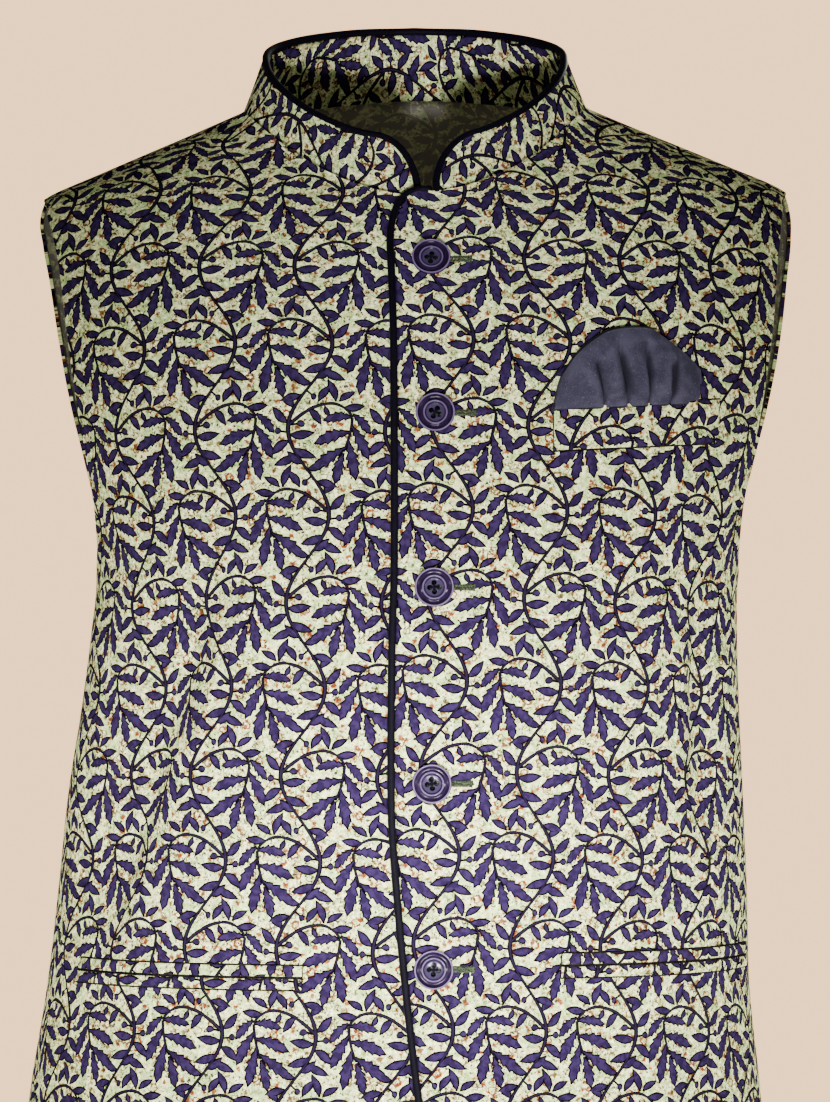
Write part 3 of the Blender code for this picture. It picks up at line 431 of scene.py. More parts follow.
def normal(hand, girth, z):
    """The direction out of the form, square to it."""
    side = SIDE[hand]
    girth, z = np.broadcast_arrays(girth, z)
    limit = quarter_at(side, z)
    low, high = np.maximum(girth - NORMAL_STEP, -limit), np.minimum(girth + NORMAL_STEP, limit)
    along = place(side, high, z) - place(side, low, z)
    up, down = z + NORMAL_STEP, z - NORMAL_STEP
    rise = place(side, girth / limit * quarter_at(side, up), up)
    rise = rise - place(side, girth / limit * quarter_at(side, down), down)
    return unit(np.cross(rise, along) * side)


def drape(side, girth, z):
    """How far the folds move the cloth: each falls in over its steep side and comes back over its slow side."""
    moved = np.zeros(np.broadcast(girth, z).shape)
    for fold in FOLDS:
        if fold.side != side:
            continue
        length = math.hypot(fold.girth_low - fold.girth_top, fold.low - fold.top)
        t = (z - fold.top) / (fold.low - fold.top)
        middle = fold.girth_top + (fold.girth_low - fold.girth_top) * np.clip(t, -FOLD_RUN, 1 + FOLD_RUN)
        outward = (girth - middle) * np.sign(fold.girth_top)
        across = np.where(outward < 0, outward / fold.steep, outward / fold.slow)
        ends = smooth_step(np.minimum(t, 1 - t) * length, -FOLD_ENDS, FOLD_ENDS)
        moved -= fold.depth * np.exp(-across * across) * ends
    return moved * smooth_step(quarter_at(side, z) - np.abs(girth), 0, SEAM_QUIET)


def closure(z):
    """The girth of the button line at a height."""
    return through(CLOSURE["height"], CLOSURE["girth"], z)


def worn(hand, girth, z, out=0.0):
    """A point of the draped cloth, moved out from it by out. The left front is raised where it laps the right one."""
    side = SIDE[hand]
    girth, z = np.broadcast_arrays(girth, z)
    lap = LAP_RAISE * (1 - smooth_step(girth - closure(z), LAP_FLAT, LAP_END)) if hand > 0 else 0.0
    return place(side, girth, z) + normal(hand, girth, z) * (lap + out + drape(side, girth, z))[..., None]


# The cut


def neckline(hand, count):
    """The neck seam of a half, from the centre to the shoulder seam, as (girth, height) rows."""
    side = SIDE[hand]
    turn = np.linspace(0, math.pi / 2, count)
    z = (-FRONT_NECK_DROP if hand else BACK_NECK_RISE) * np.cos(turn) ** 2
    start = hand * closure(z) * np.cos(turn)
    x = start + (NECK_HALF_WIDTH - start) * np.sin(turn)
    share = np.linspace(0, 1, TABLE_STEPS)
    rings = [ring_value(RINGS[side][0], share, np.full(TABLE_STEPS, level)) for level in z]
    girth = [np.interp(reach, ring, share * quarter_at(side, level)) for reach, ring, level in zip(abs(x), rings, z)]
    girth = np.array(girth) * np.sign(x)
    girth[-1] = quarter_at(side, z[-1])
    return np.stack([girth, z], axis=1)


def half_seams(side, neck, crowd=1.0):
    """(top, outer edge) of a half, as rows of a grid: its neck and shoulder seams, then its armhole, which is half
    an oval, and its side seam. The seams are half a gap short of the ridge and of the side line."""

    def seam(z, scoop=0.0):
        return np.stack([quarter_at(side, z) - SEAM_GAP / 2 - scoop, z], axis=1)

    at_neck, at_shoulder, high, low = CELLS[side]
    top = joined(spaced(neck, at_neck + 1, crowd), spaced(seam(np.linspace(0, SHOULDER_TIP, 30)), at_shoulder + 1))
    turn = np.linspace(0, math.pi, 60)
    scoop = ARMHOLE_DEEP[side] * np.clip(np.sin(turn), 0, 1) ** ARMHOLE_BLUNT
    armhole = seam(SHOULDER_TIP + (UNDERARM - SHOULDER_TIP) * (1 - np.cos(turn)) / 2, scoop)
    return top, joined(spaced(armhole, high + 1), spaced(seam(np.linspace(UNDERARM, HEM, 40)), low + 1))


def front_grid(hand):
    """The grid of a front, in its own girth, which is mirrored for the right front. Its edge runs from the rounded
    top corner down to the cutaway's corner and on along the rounded hem."""
    turn = np.linspace(0, math.pi / 2, 11)
    z = -FRONT_NECK_DROP - CORNER_DOWN * (1 - np.sin(turn))
    corner = np.stack([hand * closure(z) - OVERLAP + CORNER_ACROSS * (1 - np.cos(turn)), z], axis=1)
    half = len(corner) // 2
    neck = neckline(hand, 60)
    neck = joined(corner[half:], neck[neck[:, 0] > corner[-1, 0] + CORNER_CLEAR])
    top, right = half_seams(FRONT, neck, CORNER_CROWD)
    z = CUTAWAY["height"]
    rows = np.stack([hand * closure(z) - OVERLAP + CUTAWAY["away"], z], axis=1)
    along = lengths(rows)
    fine = np.linspace(0, along[-1], 40 * len(rows))
    curve = spaced(np.stack([through(along, column, fine) for column in rows.T], axis=1), 400)
    bend = int(np.argmin(np.linalg.norm(curve - rows[CUTAWAY_CORNER], axis=1)))
    edge = joined(corner[half::-1], curve[: bend + 1])
    split = int(np.argmin(np.abs(edge[:, 1] - UNDERARM)))
    high, low = CELLS[FRONT][2:]
    left = joined(spaced(edge[: split + 1], high + 1, CORNER_CROWD), spaced(edge[split:], low + 1))
    bottom = spaced(np.concatenate([curve[bend:], right[-1:]]), len(top))
    return patch(top, bottom, left, right)


def back_grid():
    """The grid of the back, from the right side to the left one."""
    top, right = half_seams(BACK, neckline(0, 40))
    girth = np.linspace(0, right[-1, 0], len(top))
    bottom = np.stack([girth, HEM - HEM_BACK_DROP * np.cos(girth / girth[-1] * math.pi / 2) ** 2], axis=1)
    mirrored = np.array([-1.0, 1.0])
    return patch(*(joined(edge[::-1] * mirrored, edge) for edge in (top, bottom)), right * mirrored, right)


def patch(*edges):
    """A grid of (girth, height) between its top, bottom, left and right edges: a ruled sheet from the top to the
    bottom, moved by how far the left and right edges bow from straight, with the bow in girth fading quickly. It is
    relaxed on every fourth line of the grid, then on every second line and on all of them."""
    grid = None
    for skip, steps in ((4, RELAX_STEPS), (2, RELAX_STEPS // 4), (1, RELAX_STEPS // 4)):
        top, bottom, left, right = (edge[::skip] for edge in edges)
        if grid is None:
            s, t = (share[..., None] for share in net(len(top) - 1, len(left) - 1))
            grid = (1 - t) * top + t * bottom
            for edge, near in ((left, 1 - s), (right, s)):
                grid = grid + (edge[:, None] - (1 - t) * edge[0] - t * edge[-1]) * near ** np.array([BOW_FADE, 1.0])
        else:
            grid = finer(grid, 2)
        grid[0], grid[-1], grid[:, 0], grid[:, -1] = top, bottom, left, right
        for _ in range(steps):
            relax(grid)
    return grid


def relax(grid):
    """Moves the grid's inner points so that both families of lines run more smoothly: each goes to the mean of its
    neighbours, weighted by the other family's spacing squared."""
    along = (grid[1:-1, 2:] - grid[1:-1, :-2]) / 2
    down = (grid[2:, 1:-1] - grid[:-2, 1:-1]) / 2
    twist = (grid[2:, 2:] - grid[2:, :-2] - grid[:-2, 2:] + grid[:-2, :-2]) / 4
    a, b, c = ((p * q).sum(axis=-1, keepdims=True) for p, q in ((down, down), (along, down), (along, along)))
    across = a * (grid[1:-1, 2:] + grid[1:-1, :-2]) + c * (grid[2:, 1:-1] + grid[:-2, 1:-1])
    grid[1:-1, 1:-1] += RELAX_SHARE * ((across - 2 * b * twist) / (2 * (a + c)) - grid[1:-1, 1:-1])


def finer(grid, times):
    """The grid with times as many cells each way, by straight lines between its points."""
    for axis in (0, 1):
        count = grid.shape[axis]
        at = np.arange((count - 1) * times + 1) / times
        low = np.minimum(at.astype(int), count - 2)
        share = (at - low)[:, None, None] if axis == 0 else (at - low)[None, :, None]
        grid = np.take(grid, low, axis) * (1 - share) + np.take(grid, low + 1, axis) * share
    return grid


def cut_of(points, start):
    """Where each point of a draped grid lies in the flat cut, worked out on every fourth line and filled in between:
    every grid line and every cell's two diagonals are threads of the draped length, and from the start both ends of
    each thread move along it until all of them fit. The cut is then turned so that it lies as the start does. The
    flat places are complex numbers meanwhile."""
    points, start = points[::FLAT_SKIP, ::FLAT_SKIP], start[::FLAT_SKIP, ::FLAT_SKIP] @ np.array([1, 1j])
    flat, threads, families = start.copy(), np.zeros(start.shape), []
    tall, wide = start.shape
    for down, along in ((0, 1), (1, 0), (1, 1), (1, -1)):
        first = slice(0, tall - down), slice(max(-along, 0), wide - max(along, 0))
        second = slice(down, tall), slice(max(along, 0), wide + min(along, 0))
        families.append((first, second, np.linalg.norm(points[second] - points[first], axis=-1)))
        threads[first] += 1
        threads[second] += 1
    for _ in range(FLAT_STEPS):
        moved = np.zeros_like(flat)
        for first, second, length in families:
            way = flat[second] - flat[first]
            pull = way * (1 - length / abs(way)) / 2
            moved[first] += pull
            moved[second] -= pull
        flat += FLAT_SHARE * moved / threads
    flat -= flat.mean()
    flat *= np.exp(1j * np.angle((flat.conj() * (start - start.mean())).sum()))
    flat += start.mean()
    return finer(np.stack([flat.real, flat.imag], axis=-1), FLAT_SKIP)


# Meshes


def outline(grid):
    """The values round a grid's rim."""
    return np.concatenate([grid[0, :-1], grid[:-1, -1], grid[-1, :0:-1], grid[:0:-1, 0]])


def quads(at):
    """Quads between the numbers of a grid's points."""
    return np.stack([at[:-1, :-1], at[1:, :-1], at[1:, 1:], at[:-1, 1:]], axis=-1).reshape(-1, 4)


def hoops(count, sides):
    """Quads between count closed rings of points, which are numbered ring by ring."""
    at = np.arange(count * sides).reshape(count, sides)
    return quads(np.concatenate([at, at[:, :1]], axis=1).T)


def placed(name, data):
    """A new object of the scene with this mesh, lamp or lens."""
    made = bpy.data.objects.new(name, data)
    bpy.context.scene.collection.objects.link(made)
    return made


def piece(name, node, points, faces, finishes, uv, finish_of=None, merged=False):
    """An object from points and quads, smooth and with its faces turned out, in place of a node if one is named. uv
    has a place for each point, and finish_of the number of each face's finish. merged joins the points that
    coincide, as at a pole."""
    a, b, c, d = (points[faces[:, k]] for k in range(4))
    if (np.cross(a, b) * c + np.cross(a, c) * d).sum() < 0:
        faces = faces[:, ::-1]
    mesh = bpy.data.meshes.new(name)
    mesh.from_pydata(points.tolist(), [], faces.tolist())
    if finish_of is not None:
        mesh.polygons.foreach_set("material_index", finish_of.astype(np.int32))
    layer = mesh.uv_layers.new(name=CLOTH_RUN)
    layer.data.foreach_set("uv", uv.astype(np.float32)[faces.ravel()].ravel())
    if merged:
        work = bmesh.new()
        work.from_mesh(mesh)
        bmesh.ops.remove_doubles(work, verts=work.verts, dist=1e-7)
        work.to_mesh(mesh)
        work.free()
    mesh.shade_smooth()
    for finish in finishes:
        mesh.materials.append(FINISHES[finish])
    made = placed(name, mesh)
    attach(made, "root")
    if node:
        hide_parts(node)
    return made


def wall(name, node, outer, inner, uv, finishes, edge=EDGE_ROUND, shadow_edged=False):
    """A closed wall of cloth between an outer and an inner grid, with a turned edge all round: a middle line that
    stands out from the rim by edge times the wall's thickness. The outer grid has the first finish and the inner one
    the last. Where asked, the rim and the first and last rows have the last one too, as a painted shadow along the
    wall's edges."""
    rows, columns = outer.shape[:2]
    at = np.arange(rows * columns).reshape(rows, columns)
    within = np.clip(at // columns, 1, rows - 2) * columns + np.clip(at % columns, 1, columns - 2)
    ring, within = outline(at), outline(within)
    outer, inner, uv = outer.reshape(-1, 3), inner.reshape(-1, 3), uv.reshape(-1, 2)
    across = (outer - inner)[ring]
    thick = np.linalg.norm(across, axis=1, keepdims=True)
    across = across / thick
    off = (outer[ring] - outer[within]) - ((outer[ring] - outer[within]) * across).sum(axis=1, keepdims=True) * across
    off /= np.maximum(np.linalg.norm(off, axis=1, keepdims=True), 1e-9)
    middle = (outer + inner)[ring] / 2 + off * thick * edge
    line = 2 * at.size + np.arange(len(ring))
    after, line_after = np.roll(ring, -1), np.roll(line, -1)
    rims = (after, ring, line, line_after), (line_after, line, ring + at.size, after + at.size)
    faces = np.concatenate([quads(at), quads(at + at.size)[:, ::-1], *(np.stack(rim, axis=1) for rim in rims)])
    last = len(finishes) - 1
    which = np.zeros((rows - 1, columns - 1))
    if shadow_edged:
        which[0] = which[-1] = last
    which = np.concatenate([which.ravel(), np.full(which.size, last), np.full(2 * len(ring), last * shadow_edged)])
    points = np.concatenate([outer, inner, middle])
    return piece(name, node, points, faces, finishes, np.concatenate([uv, uv, uv[ring]]), which)


def tube(name, node, path, up, radii, finish, sides=12, tall=1.0):
    """A cord along a path: a ring of points round each place of the path, at across times cos and up times sin, times
    the radius there. tall stretches it along up. Both ends are rounded off by rings that shrink to a point."""
    cap = np.sin(np.linspace(0, math.pi / 2, 5)[:-1])
    shrink = np.concatenate([cap, np.ones(len(path)), cap[::-1]])
    stretch = np.sqrt(1 - shrink**2) * np.sign(np.arange(len(shrink)) - len(shrink) / 2)
    ends = np.clip(np.arange(len(shrink)) - len(cap), 0, len(path) - 1)
    radii = np.broadcast_to(radii, len(path))[ends]
    tangent = unit(np.gradient(path, axis=0))[ends]
    path = path[ends] + tangent * (stretch * radii)[:, None]
    across = unit(np.cross(tangent, up[ends]))
    turn = np.linspace(0, 2 * math.pi, sides, endpoint=False)[None, :, None]
    ring = across[:, None] * np.cos(turn) + tall * np.cross(across, tangent)[:, None] * np.sin(turn)
    points = path[:, None] + ring * (radii * shrink)[:, None, None]
    uv = np.stack(np.broadcast_arrays(lengths(path)[:, None], turn[:, :, 0] / (2 * math.pi)), axis=-1)
    faces = hoops(len(path), sides)
    return piece(name, node, points.reshape(-1, 3), faces, [finish], uv.reshape(-1, 2), merged=True)


# The print, in millimetres on the cloth


def along_stroke(start, length, bend, share):
    """The place and the heading at a share of a stroke that starts at (across, up, heading)."""
    turn, off = math.radians(start[2]), bend * share * share
    return (
        start[0] + length * (math.cos(turn) * share - math.sin(turn) * off),
        start[1] + length * (math.sin(turn) * share + math.cos(turn) * off),
        start[2] + math.degrees(math.atan(2 * bend * share)),
    )


def sprays():
    """Every stroke of one side of the print, as (kind, across, up, heading, length, half width, bend)."""
    rows, end = [], ARCH_START
    for length, half, bend in ARCH:
        rows.append(("stem", *end, length, half, bend))
        end = along_stroke(end, length, bend, ARCH_MEET)
    rib = (*end[:2], RIB_HEADING)
    rows.append(("stem", *rib, *RIB))
    for share, *leaf in FAN:
        rows.append(("holly", *along_stroke(rib, RIB[0], RIB[2], share)[:2], *leaf))
    for kind, repeat, height, *sprig in SPRIGS:
        stem = -STEM_SWING * math.cos(2 * math.pi * (height - STEM_LEFT) / REPEAT_TALL)
        rows.append((kind, stem + repeat * REPEAT_WIDE, height, *sprig))
    return rows + list(LOOSE)


# Finishes


class Shade:
    """A socket of a material's node tree. Sums with other sockets and numbers add Math nodes."""

    def __init__(self, tree, socket):
        self.tree, self.socket = tree, socket

    def node(self, kind, settings, *values, output=0):
        """A new node: settings are set first, a curve's points among them, and then its sockets get the values or
        links, in order. None leaves a socket as it is."""
        made = self.tree.nodes.new("ShaderNode" + kind)
        for name, value in settings.items():
            if name == "curve":
                made.mapping.use_clip = False
                line = made.mapping.curves[0]
                for place in value[2:]:
                    line.points.new(*place)
                for point, place in zip(line.points, value):
                    point.location, point.handle_type = place, "VECTOR"
                made.mapping.update()
            else:
                setattr(made, name, value)
        for socket, value in zip([socket for socket in made.inputs if socket.enabled], values):
            if isinstance(value, Shade):
                self.tree.links.new(value.socket, socket)
            elif value is not None:
                socket.default_value = value
        return Shade(self.tree, made.outputs[output])

    def math(self, operation, *values):
        return self.node("Math", {"operation": operation}, *values)

    def __add__(self, other):
        return self.math("ADD", self, other)

    def __mul__(self, other):
        return self.math("MULTIPLY", self, other)

    def __sub__(self, other):
        return self.math("SUBTRACT", self, other)

    def __rsub__(self, other):
        return self.math("SUBTRACT", other, self)

    def at_least(self, other):
        return self.math("MAXIMUM", self, other)

    def size(self):
        return self.math("ABSOLUTE", self)

    __radd__, __rmul__ = __add__, __mul__

    def between(self, low, high):
        """0 below low and 1 above high, with a smooth step between them."""
        return self.node("MapRange", {"interpolation_type": "SMOOTHSTEP"}, self, low, high, 0.0, 1.0)

    def mixed(self, *colours):
        """A colour between two others, with this as the share of the second."""
        colours = [(*colour, 1.0) if isinstance(colour, tuple) else colour for colour in colours]
        return self.node("Mix", {"data_type": "RGBA"}, self, *colours, output=2)

    def moved(self, times, shift=(0.0, 0.0, 0.0)):
        """This place times one vector plus another."""
        return self.node("VectorMath", {"operation": "MULTIPLY_ADD"}, self, times, shift)

    def parts(self):
        """The X and the Y of this place."""
        first = self.node("SeparateXYZ", {}, self)
        return first, Shade(self.tree, first.socket.node.outputs[1])

    def noise(self, scale, detail, rough, dimensions="2D", output=0):
        kind = {"noise_dimensions": dimensions}
        return self.node("TexNoise", kind, self, scale, detail, rough, output=output)

    def bumped(self, strength):
        """A normal raised by this height."""
        return self.node("Bump", {}, strength, THREAD_BUMP, None, self)


def coated(colour, *coats):
    """A colour under coats, each of which is a share and a colour."""
    for share, coat in coats:
        colour = share.mixed(colour, coat)
    return colour


def finish(name, shades, **constants):
    """A new material. The constants are set on the surface shader's own sockets, and shades gives what is linked to
    the others, from a place's (girth, height) on the flat cloth and its Object place, both in millimetres."""
    made = FINISHES[name] = bpy.data.materials.new(name)
    made.use_nodes = True
    tree = made.node_tree
    inputs = tree.nodes["Principled BSDF"].inputs
    for socket, value in constants.items():
        inputs[socket.replace("_", " ")].default_value = value
    start = Shade(tree, None)
    run = start.node("UVMap", {"uv_map": CLOTH_RUN}).moved((1000.0, 1000.0, 0.0))
    solid = start.node("TexCoord", {}, output=3).moved((1000.0, 1000.0, 1000.0))
    for socket, value in shades(run, solid).items():
        tree.links.new(value.socket, inputs[socket])


def stroke(place, kind, u, v, heading, length, half, bend):
    """How far inside one printed stroke a place is, in millimetres across it. The stroke starts at (u, v) with a
    heading, its middle line bends off sideways by bend times length times t squared at a share t of its length, and
    its half width there is half times its outline."""
    turned = (0.0, 0.0, math.radians(heading))
    own = place.node("Mapping", {"vector_type": "TEXTURE"}, place, (u, v, 0.0), turned, (length, 1.0, 1.0))
    along, across = own.parts()
    across = along.math("MULTIPLY_ADD", along * along, -bend * length, across)
    curve = [(t, half * high) for t, high in OUTLINES[kind]]
    return along.node("FloatCurve", {"curve": curve}, 1.0, along) - across.size()


def leaf_print(run):
    """How far inside the printed leaves and how far inside the printed stems a place is, in millimetres. The cloth
    is folded onto one side of the print, half a repeat tall between a main stem and the next one: the next half
    repeat is the same one mirrored. The main stem is thickest where it swings furthest."""
    girth, height = run.parts()
    odd = run.math("GREATER_THAN", run.math("WRAP", height, FOLD + REPEAT_TALL, FOLD), FOLD + REPEAT_TALL / 2)
    height = run.math("WRAP", height, FOLD + REPEAT_TALL / 2, FOLD)
    swing = run.math("COSINE", (height - STEM_LEFT) * (2 * math.pi / REPEAT_TALL))
    sway = STEM_SWING * swing
    off = girth * (1.0 - 2.0 * odd) + sway
    nearest = run.math("WRAP", off, REPEAT_WIDE / 2, -REPEAT_WIDE / 2).size()
    stems = STEM_HALF + STEM_FORK * swing.size() - STEM_SLANT * nearest
    folded = run.node("CombineXYZ", {}, run.math("WRAP", off, REPEAT_WIDE, 0.0) - sway, height)
    leaves = stems - REPEAT_WIDE
    for row in sprays():
        if row[0] == "stem":
            stems = stems.at_least(stroke(folded, *row))
        else:
            leaves = leaves.at_least(stroke(folded, *row))
    return leaves, stems


def print_colours(run):
    """The printed cloth's colour, and where it is printed: a pale ground that drifts from cream to green, with rust
    flecks and rings, fine tan lines and dark specks, and over it the stems and leaves, with a dark line round each."""
    drift, mottle, patches = run.noise(*DRIFT), run.noise(*MOTTLE), run.noise(*PATCHES)
    pale, moss = mottle.between(0.50, 0.72) * 0.75, mottle.between(0.50, 0.30) * 0.65
    ground = coated(CREAM, (drift.between(0.41, 0.65), GREEN), (pale, PALE), (moss, MOSS))
    bent = run.node("VectorMath", {"operation": "SCALE"}, run.noise(*CROOKED, output=1), CROOK)
    crooked = run.node("VectorMath", {"operation": "ADD"}, run, bent)
    for fleck in FLECKS:
        kind = {"voronoi_dimensions": "2D", "feature": "F1"}
        spot = run.node("TexVoronoi", kind, crooked, 1 / fleck.cell, 0.0)
        drawn = run.node("SeparateColor", {}, Shade(run.tree, spot.socket.node.outputs[1]))
        off = (spot * fleck.cell - fleck.radius).size()
        chosen = off.between(fleck.wide, fleck.wide * 0.35) * drawn.between(fleck.chance, fleck.chance - 0.02)
        ground = chosen.mixed(ground, fleck.colour)
    lines, scratches = ((crooked.noise(*noise) - 0.5).size() for noise in (LINES, SCRATCHES))
    lined = lines.between(0.012, 0.004) * patches.between(0.47, 0.56) * 0.8
    scratched = scratches.between(0.045, 0.012) * patches.between(0.55, 0.47) * 0.85
    ground = coated(ground, (lined, TAN), (scratched, SPECK))
    leaves, stems = leaf_print(run)
    leaf = run.noise(*INK).between(0.35, 0.65).mixed(LEAF_DEEP, LEAF)
    leaf = leaves.between(0.74, 0.48).mixed(leaf, stems.between(0.25, 0.60).mixed(OUTLINE, STEM))
    printed = (leaves.at_least(stems) + (mottle - 0.5) * 0.25).between(-0.26, -0.13)
    return printed.mixed(ground, leaf), printed


def weave(run, warp=WARP, weft=WEFT):
    """The height of a satin weave: two families of fine threads, one seen more than the other."""
    across, up = (2 * math.pi / wide for wide in (warp, weft))
    girth, height = run.parts()
    slub = run.moved((0.3, 2.4, 0.0)).noise(1.0, 2.0, 0.6)
    return run.math("SINE", girth * across) * 0.3 + run.math("SINE", height * up) * 0.6 + slub * 1.4


def print_cloth(run, _):
    colour, printed = print_colours(run)
    return {"Base Color": colour, "Roughness": 0.80 - 0.06 * printed, "Normal": weave(run).bumped(0.25)}


def wrong_side(run, _):
    """The print's faded back."""
    colour, printed = print_colours(run)
    return {"Base Color": (0.5 + 0.1 * printed).mixed(colour, WRONG_SIDE), "Normal": weave(run).bumped(0.3)}


def cord(run, solid):
    """Dark cord with a twill along it."""
    slub = solid.noise(0.8, 3.0, 0.6, "3D")
    twill = run.math("SINE", solid.moved((1.0, 0.0, 1.0)).parts()[0] * 9.0)
    colour = slub.between(0.3, 0.7).mixed(NAVY_DEEP, NAVY)
    return {"Base Color": colour, "Roughness": 0.46 + 0.16 * slub, "Normal": (slub + twill * 0.15).bumped(0.25)}


def pocket_cloth(run, solid):
    """Napped cloth with lint, with painted shade in each pleat. Each pleat's painted shadow is a stroke from the welt
    upwards.
    """
    lint, cloud = solid.noise(1.6, 3.0, 0.7, "3D"), solid.noise(0.12, 2.0, 0.5, "3D")
    inside = None
    for pleat in PLEATS:
        foot = 1000 * (BREAST_START + SQUARE_WIDTH * (pleat.foot + SQUARE_LEAN * math.sin(math.pi * pleat.foot)))
        level = 1000 * (BREAST_TOP + BREAST_RISE * pleat.foot * SQUARE_WIDTH / BREAST_WIDTH) - 2.0
        lean, rise = 1000 * SQUARE_WIDTH * (pleat.head - pleat.foot), 1000 * SQUARE_TALL * (1 - pleat.starts)
        heading = math.degrees(math.atan2(rise, lean))
        drawn = stroke(run, "pleat", foot, level, heading, math.hypot(rise, lean), 2.0, -4 * pleat.bow)
        inside = drawn if inside is None else inside.at_least(drawn)
    # The pleat strokes paint shade into the folds of the pocket cloth.
    pleat_shade_share, linty = inside.between(-0.5, 2.0) * 0.85, lint.between(0.56, 0.70) * 0.5
    coats = (cloud.between(0.35, 0.65), POCKET), (linty, LINT), (pleat_shade_share, PLEAT_SHADE)
    return {"Base Color": coated(POCKET_DEEP, *coats), "Normal": (weave(run, 0.6, 0.6) + lint).bumped(0.3)}


def button_plastic(run, solid):
    """Dark swirled plastic, paler on the rim, round the dish and in it, with painted black shade in the four holes."""
    x, y = run.parts()
    radius = run.math("SQRT", x * x + y * y)
    swirl = solid.noise(0.22, 3.0, 0.55, "3D")
    rim, ring = ((radius - at).size().between(0.55, 0.15) * share for at, share in ((9.15, 0.62), (5.6, 0.42)))
    dish = radius.between(5.0, 4.2) * 0.34
    across, above = x.size() - 1000 * HOLE_OFF, y.size() - 1000 * HOLE_OFF
    # The four holes get painted black shade, standing in for the darkness inside them.
    hole = run.math("SQRT", across * across + above * above).between(1.35, 1.10)
    colour = coated(BUTTON_DEEP, (swirl.between(0.35, 0.65), BUTTON), (rim, BUTTON_RIM), (ring, BUTTON_RIM))
    return {"Base Color": coated(colour, (dish, BUTTON_DISH), (hole, HOLE_SHADE)), "Roughness": 0.16 + 0.08 * swirl}


# Painted shadow along a welt's long edges and rim.
def seam_shade(_, solid):
    return {"Base Color": solid.noise(0.6, 2.0, 0.6, "3D").between(0.4, 0.7).mixed(SEAM_SHADE, SEAM_SHADE_PALE)}


def thread(solid, *colours):
    """Thread whose strands change between two colours."""
    strand = solid.noise(1.6, 2.0, 0.6, "3D")
    return {"Base Color": strand.between(0.42, 0.58).mixed(*colours), "Roughness": 0.5 + 0.2 * strand}


def make_finishes():
    finish("print_cloth", print_cloth, Specular_IOR_Level=0.0)
    finish("print_wrong_side", wrong_side, Roughness=0.75, Specular_IOR_Level=0.0)
    finish("navy_cord", cord, Specular_IOR_Level=0.03)
    finish("pocket_cloth", pocket_cloth, Roughness=0.85, Specular_IOR_Level=0.12)
    finish("seam_shade", seam_shade, Roughness=0.9, Specular_IOR_Level=0.0)
    finish("button_plastic", button_plastic, Coat_Weight=0.10, Coat_Roughness=0.07, Specular_IOR_Level=0.03)
    for name, colours in (("button_thread", (THREAD, THREAD_DEEP)), ("buttonhole_thread", (SAGE, SAGE_DEEP))):
        finish(name, lambda run, solid: thread(solid, *colours), Specular_IOR_Level=0.03)


# The jacket's pieces


def make_panel(node, hand, grid):
    """A front or the back. Returns it and its flat cut. Its print runs along the cut."""
    girth, z = (hand or 1) * grid[..., 0], grid[..., 1]
    outer, inner = worn(hand, girth, z), worn(hand, girth, z, -CLOTH)
    flat = cut_of(outer, np.stack([girth if hand else -girth, z], axis=-1))
    finishes = ["print_cloth", "print_wrong_side"]
    return wall("cloth_" + node, node, outer, inner, flat + PRINT_SHIFT[hand], finishes), flat


def neck_seam(grids):
    """The neck seam from the collar's right end round the back to its left end, along the panels' top edges: its
    points, the cloth's normals there, and the direction that leads off the cloth across the seam."""
    pieces = []
    for hand in (-1, 0, 1):
        at_neck, at_shoulder = CELLS[SIDE[hand]][:2]
        first = 0 if hand else at_shoulder
        top = grids[hand][0, first : first + at_neck * (1 if hand else 2) + 1]
        girth, z = (hand or 1) * top[:, 0], top[:, 1]
        rows = np.concatenate([worn(hand, girth, z), normal(hand, girth, z), top], axis=1)
        rows = read_along(rows, np.arange(len(rows)), np.arange(8 * len(rows) - 7) / 8)
        if hand:
            rows = rows[rows[:, 6] >= hand * closure(rows[:, 7]) + COLLAR_END]
        pieces.append(rows[::-1] if hand > 0 else rows)
    curve = spaced(joined(*pieces)[:, :6], 721)
    points, normals = curve[:, :3], unit(curve[:, 3:])
    beyond = unit(np.cross(np.gradient(points, axis=0), normals))
    return points, normals, beyond * np.sign(beyond[:, 2:])


def make_collar(grids):
    """The stand collar and its cord: each column runs from the neck seam to the rim, and the two front corners are
    rounded by quarter ellipses. At the seam the wall lies as the panels do. Its print runs along the band."""
    seam, normals, beyond = neck_seam(grids)
    along = lengths(seam)
    share, level = net(224, 16)
    share, level = share[0], level[..., None]
    at = share - COLLAR_CROWD * np.sin(2 * math.pi * share) / (2 * math.pi)
    at = COLLAR_FIRST + at * (along[-1] - 2 * COLLAR_FIRST)
    base, first_out, beyond = (read_along(values, along, at) for values in (seam, normals, beyond))
    turn = np.arctan2(base[:, 0], -base[:, 1])
    across, height = (through(RIM["degrees"], RIM[name], np.degrees(np.abs(turn))) for name in ("across", "height"))
    depth = np.where(np.cos(turn) > 0, RIM_FRONT, RIM_BACK)
    x = across * np.sin(turn) + base[:, 0] - NECK_HALF_WIDTH * np.sin(turn)
    rim = np.stack([x, -depth * np.cos(turn), height], axis=1)
    near = np.clip(1 - np.minimum(at, along[-1] - at) / COLLAR_ROUND, 0, 1)
    rise = (rim - base) * np.sqrt(1 - near**2)[:, None]
    outer = base + beyond * COLLAR_FIRST + rise * level
    out = np.cross(np.gradient(base, axis=0), rise)
    out = unit(out * np.sign((out * first_out).sum(axis=1))[:, None])
    out = unit(first_out * (1 - level) + out * level)
    tall = np.linalg.norm(rise, axis=1)
    flat = np.stack(np.broadcast_arrays(-level[..., 0] * tall, -at), axis=-1)
    inner, uv = outer - out * COLLAR_WALL, flat + COLLAR_SHIFT
    made = wall("collar_band", "collar", outer, inner, uv, ["print_cloth"], BAND_ROUND)
    middle = outer - out * COLLAR_WALL / 2
    edge, sides = (np.concatenate([line[:-1, 0], line[-1], line[-2::-1, -1]]) for line in (middle, out))
    make_cord("collar_cord", "collar_piping", edge, sides, middle[0, 0] - middle[0, 3])


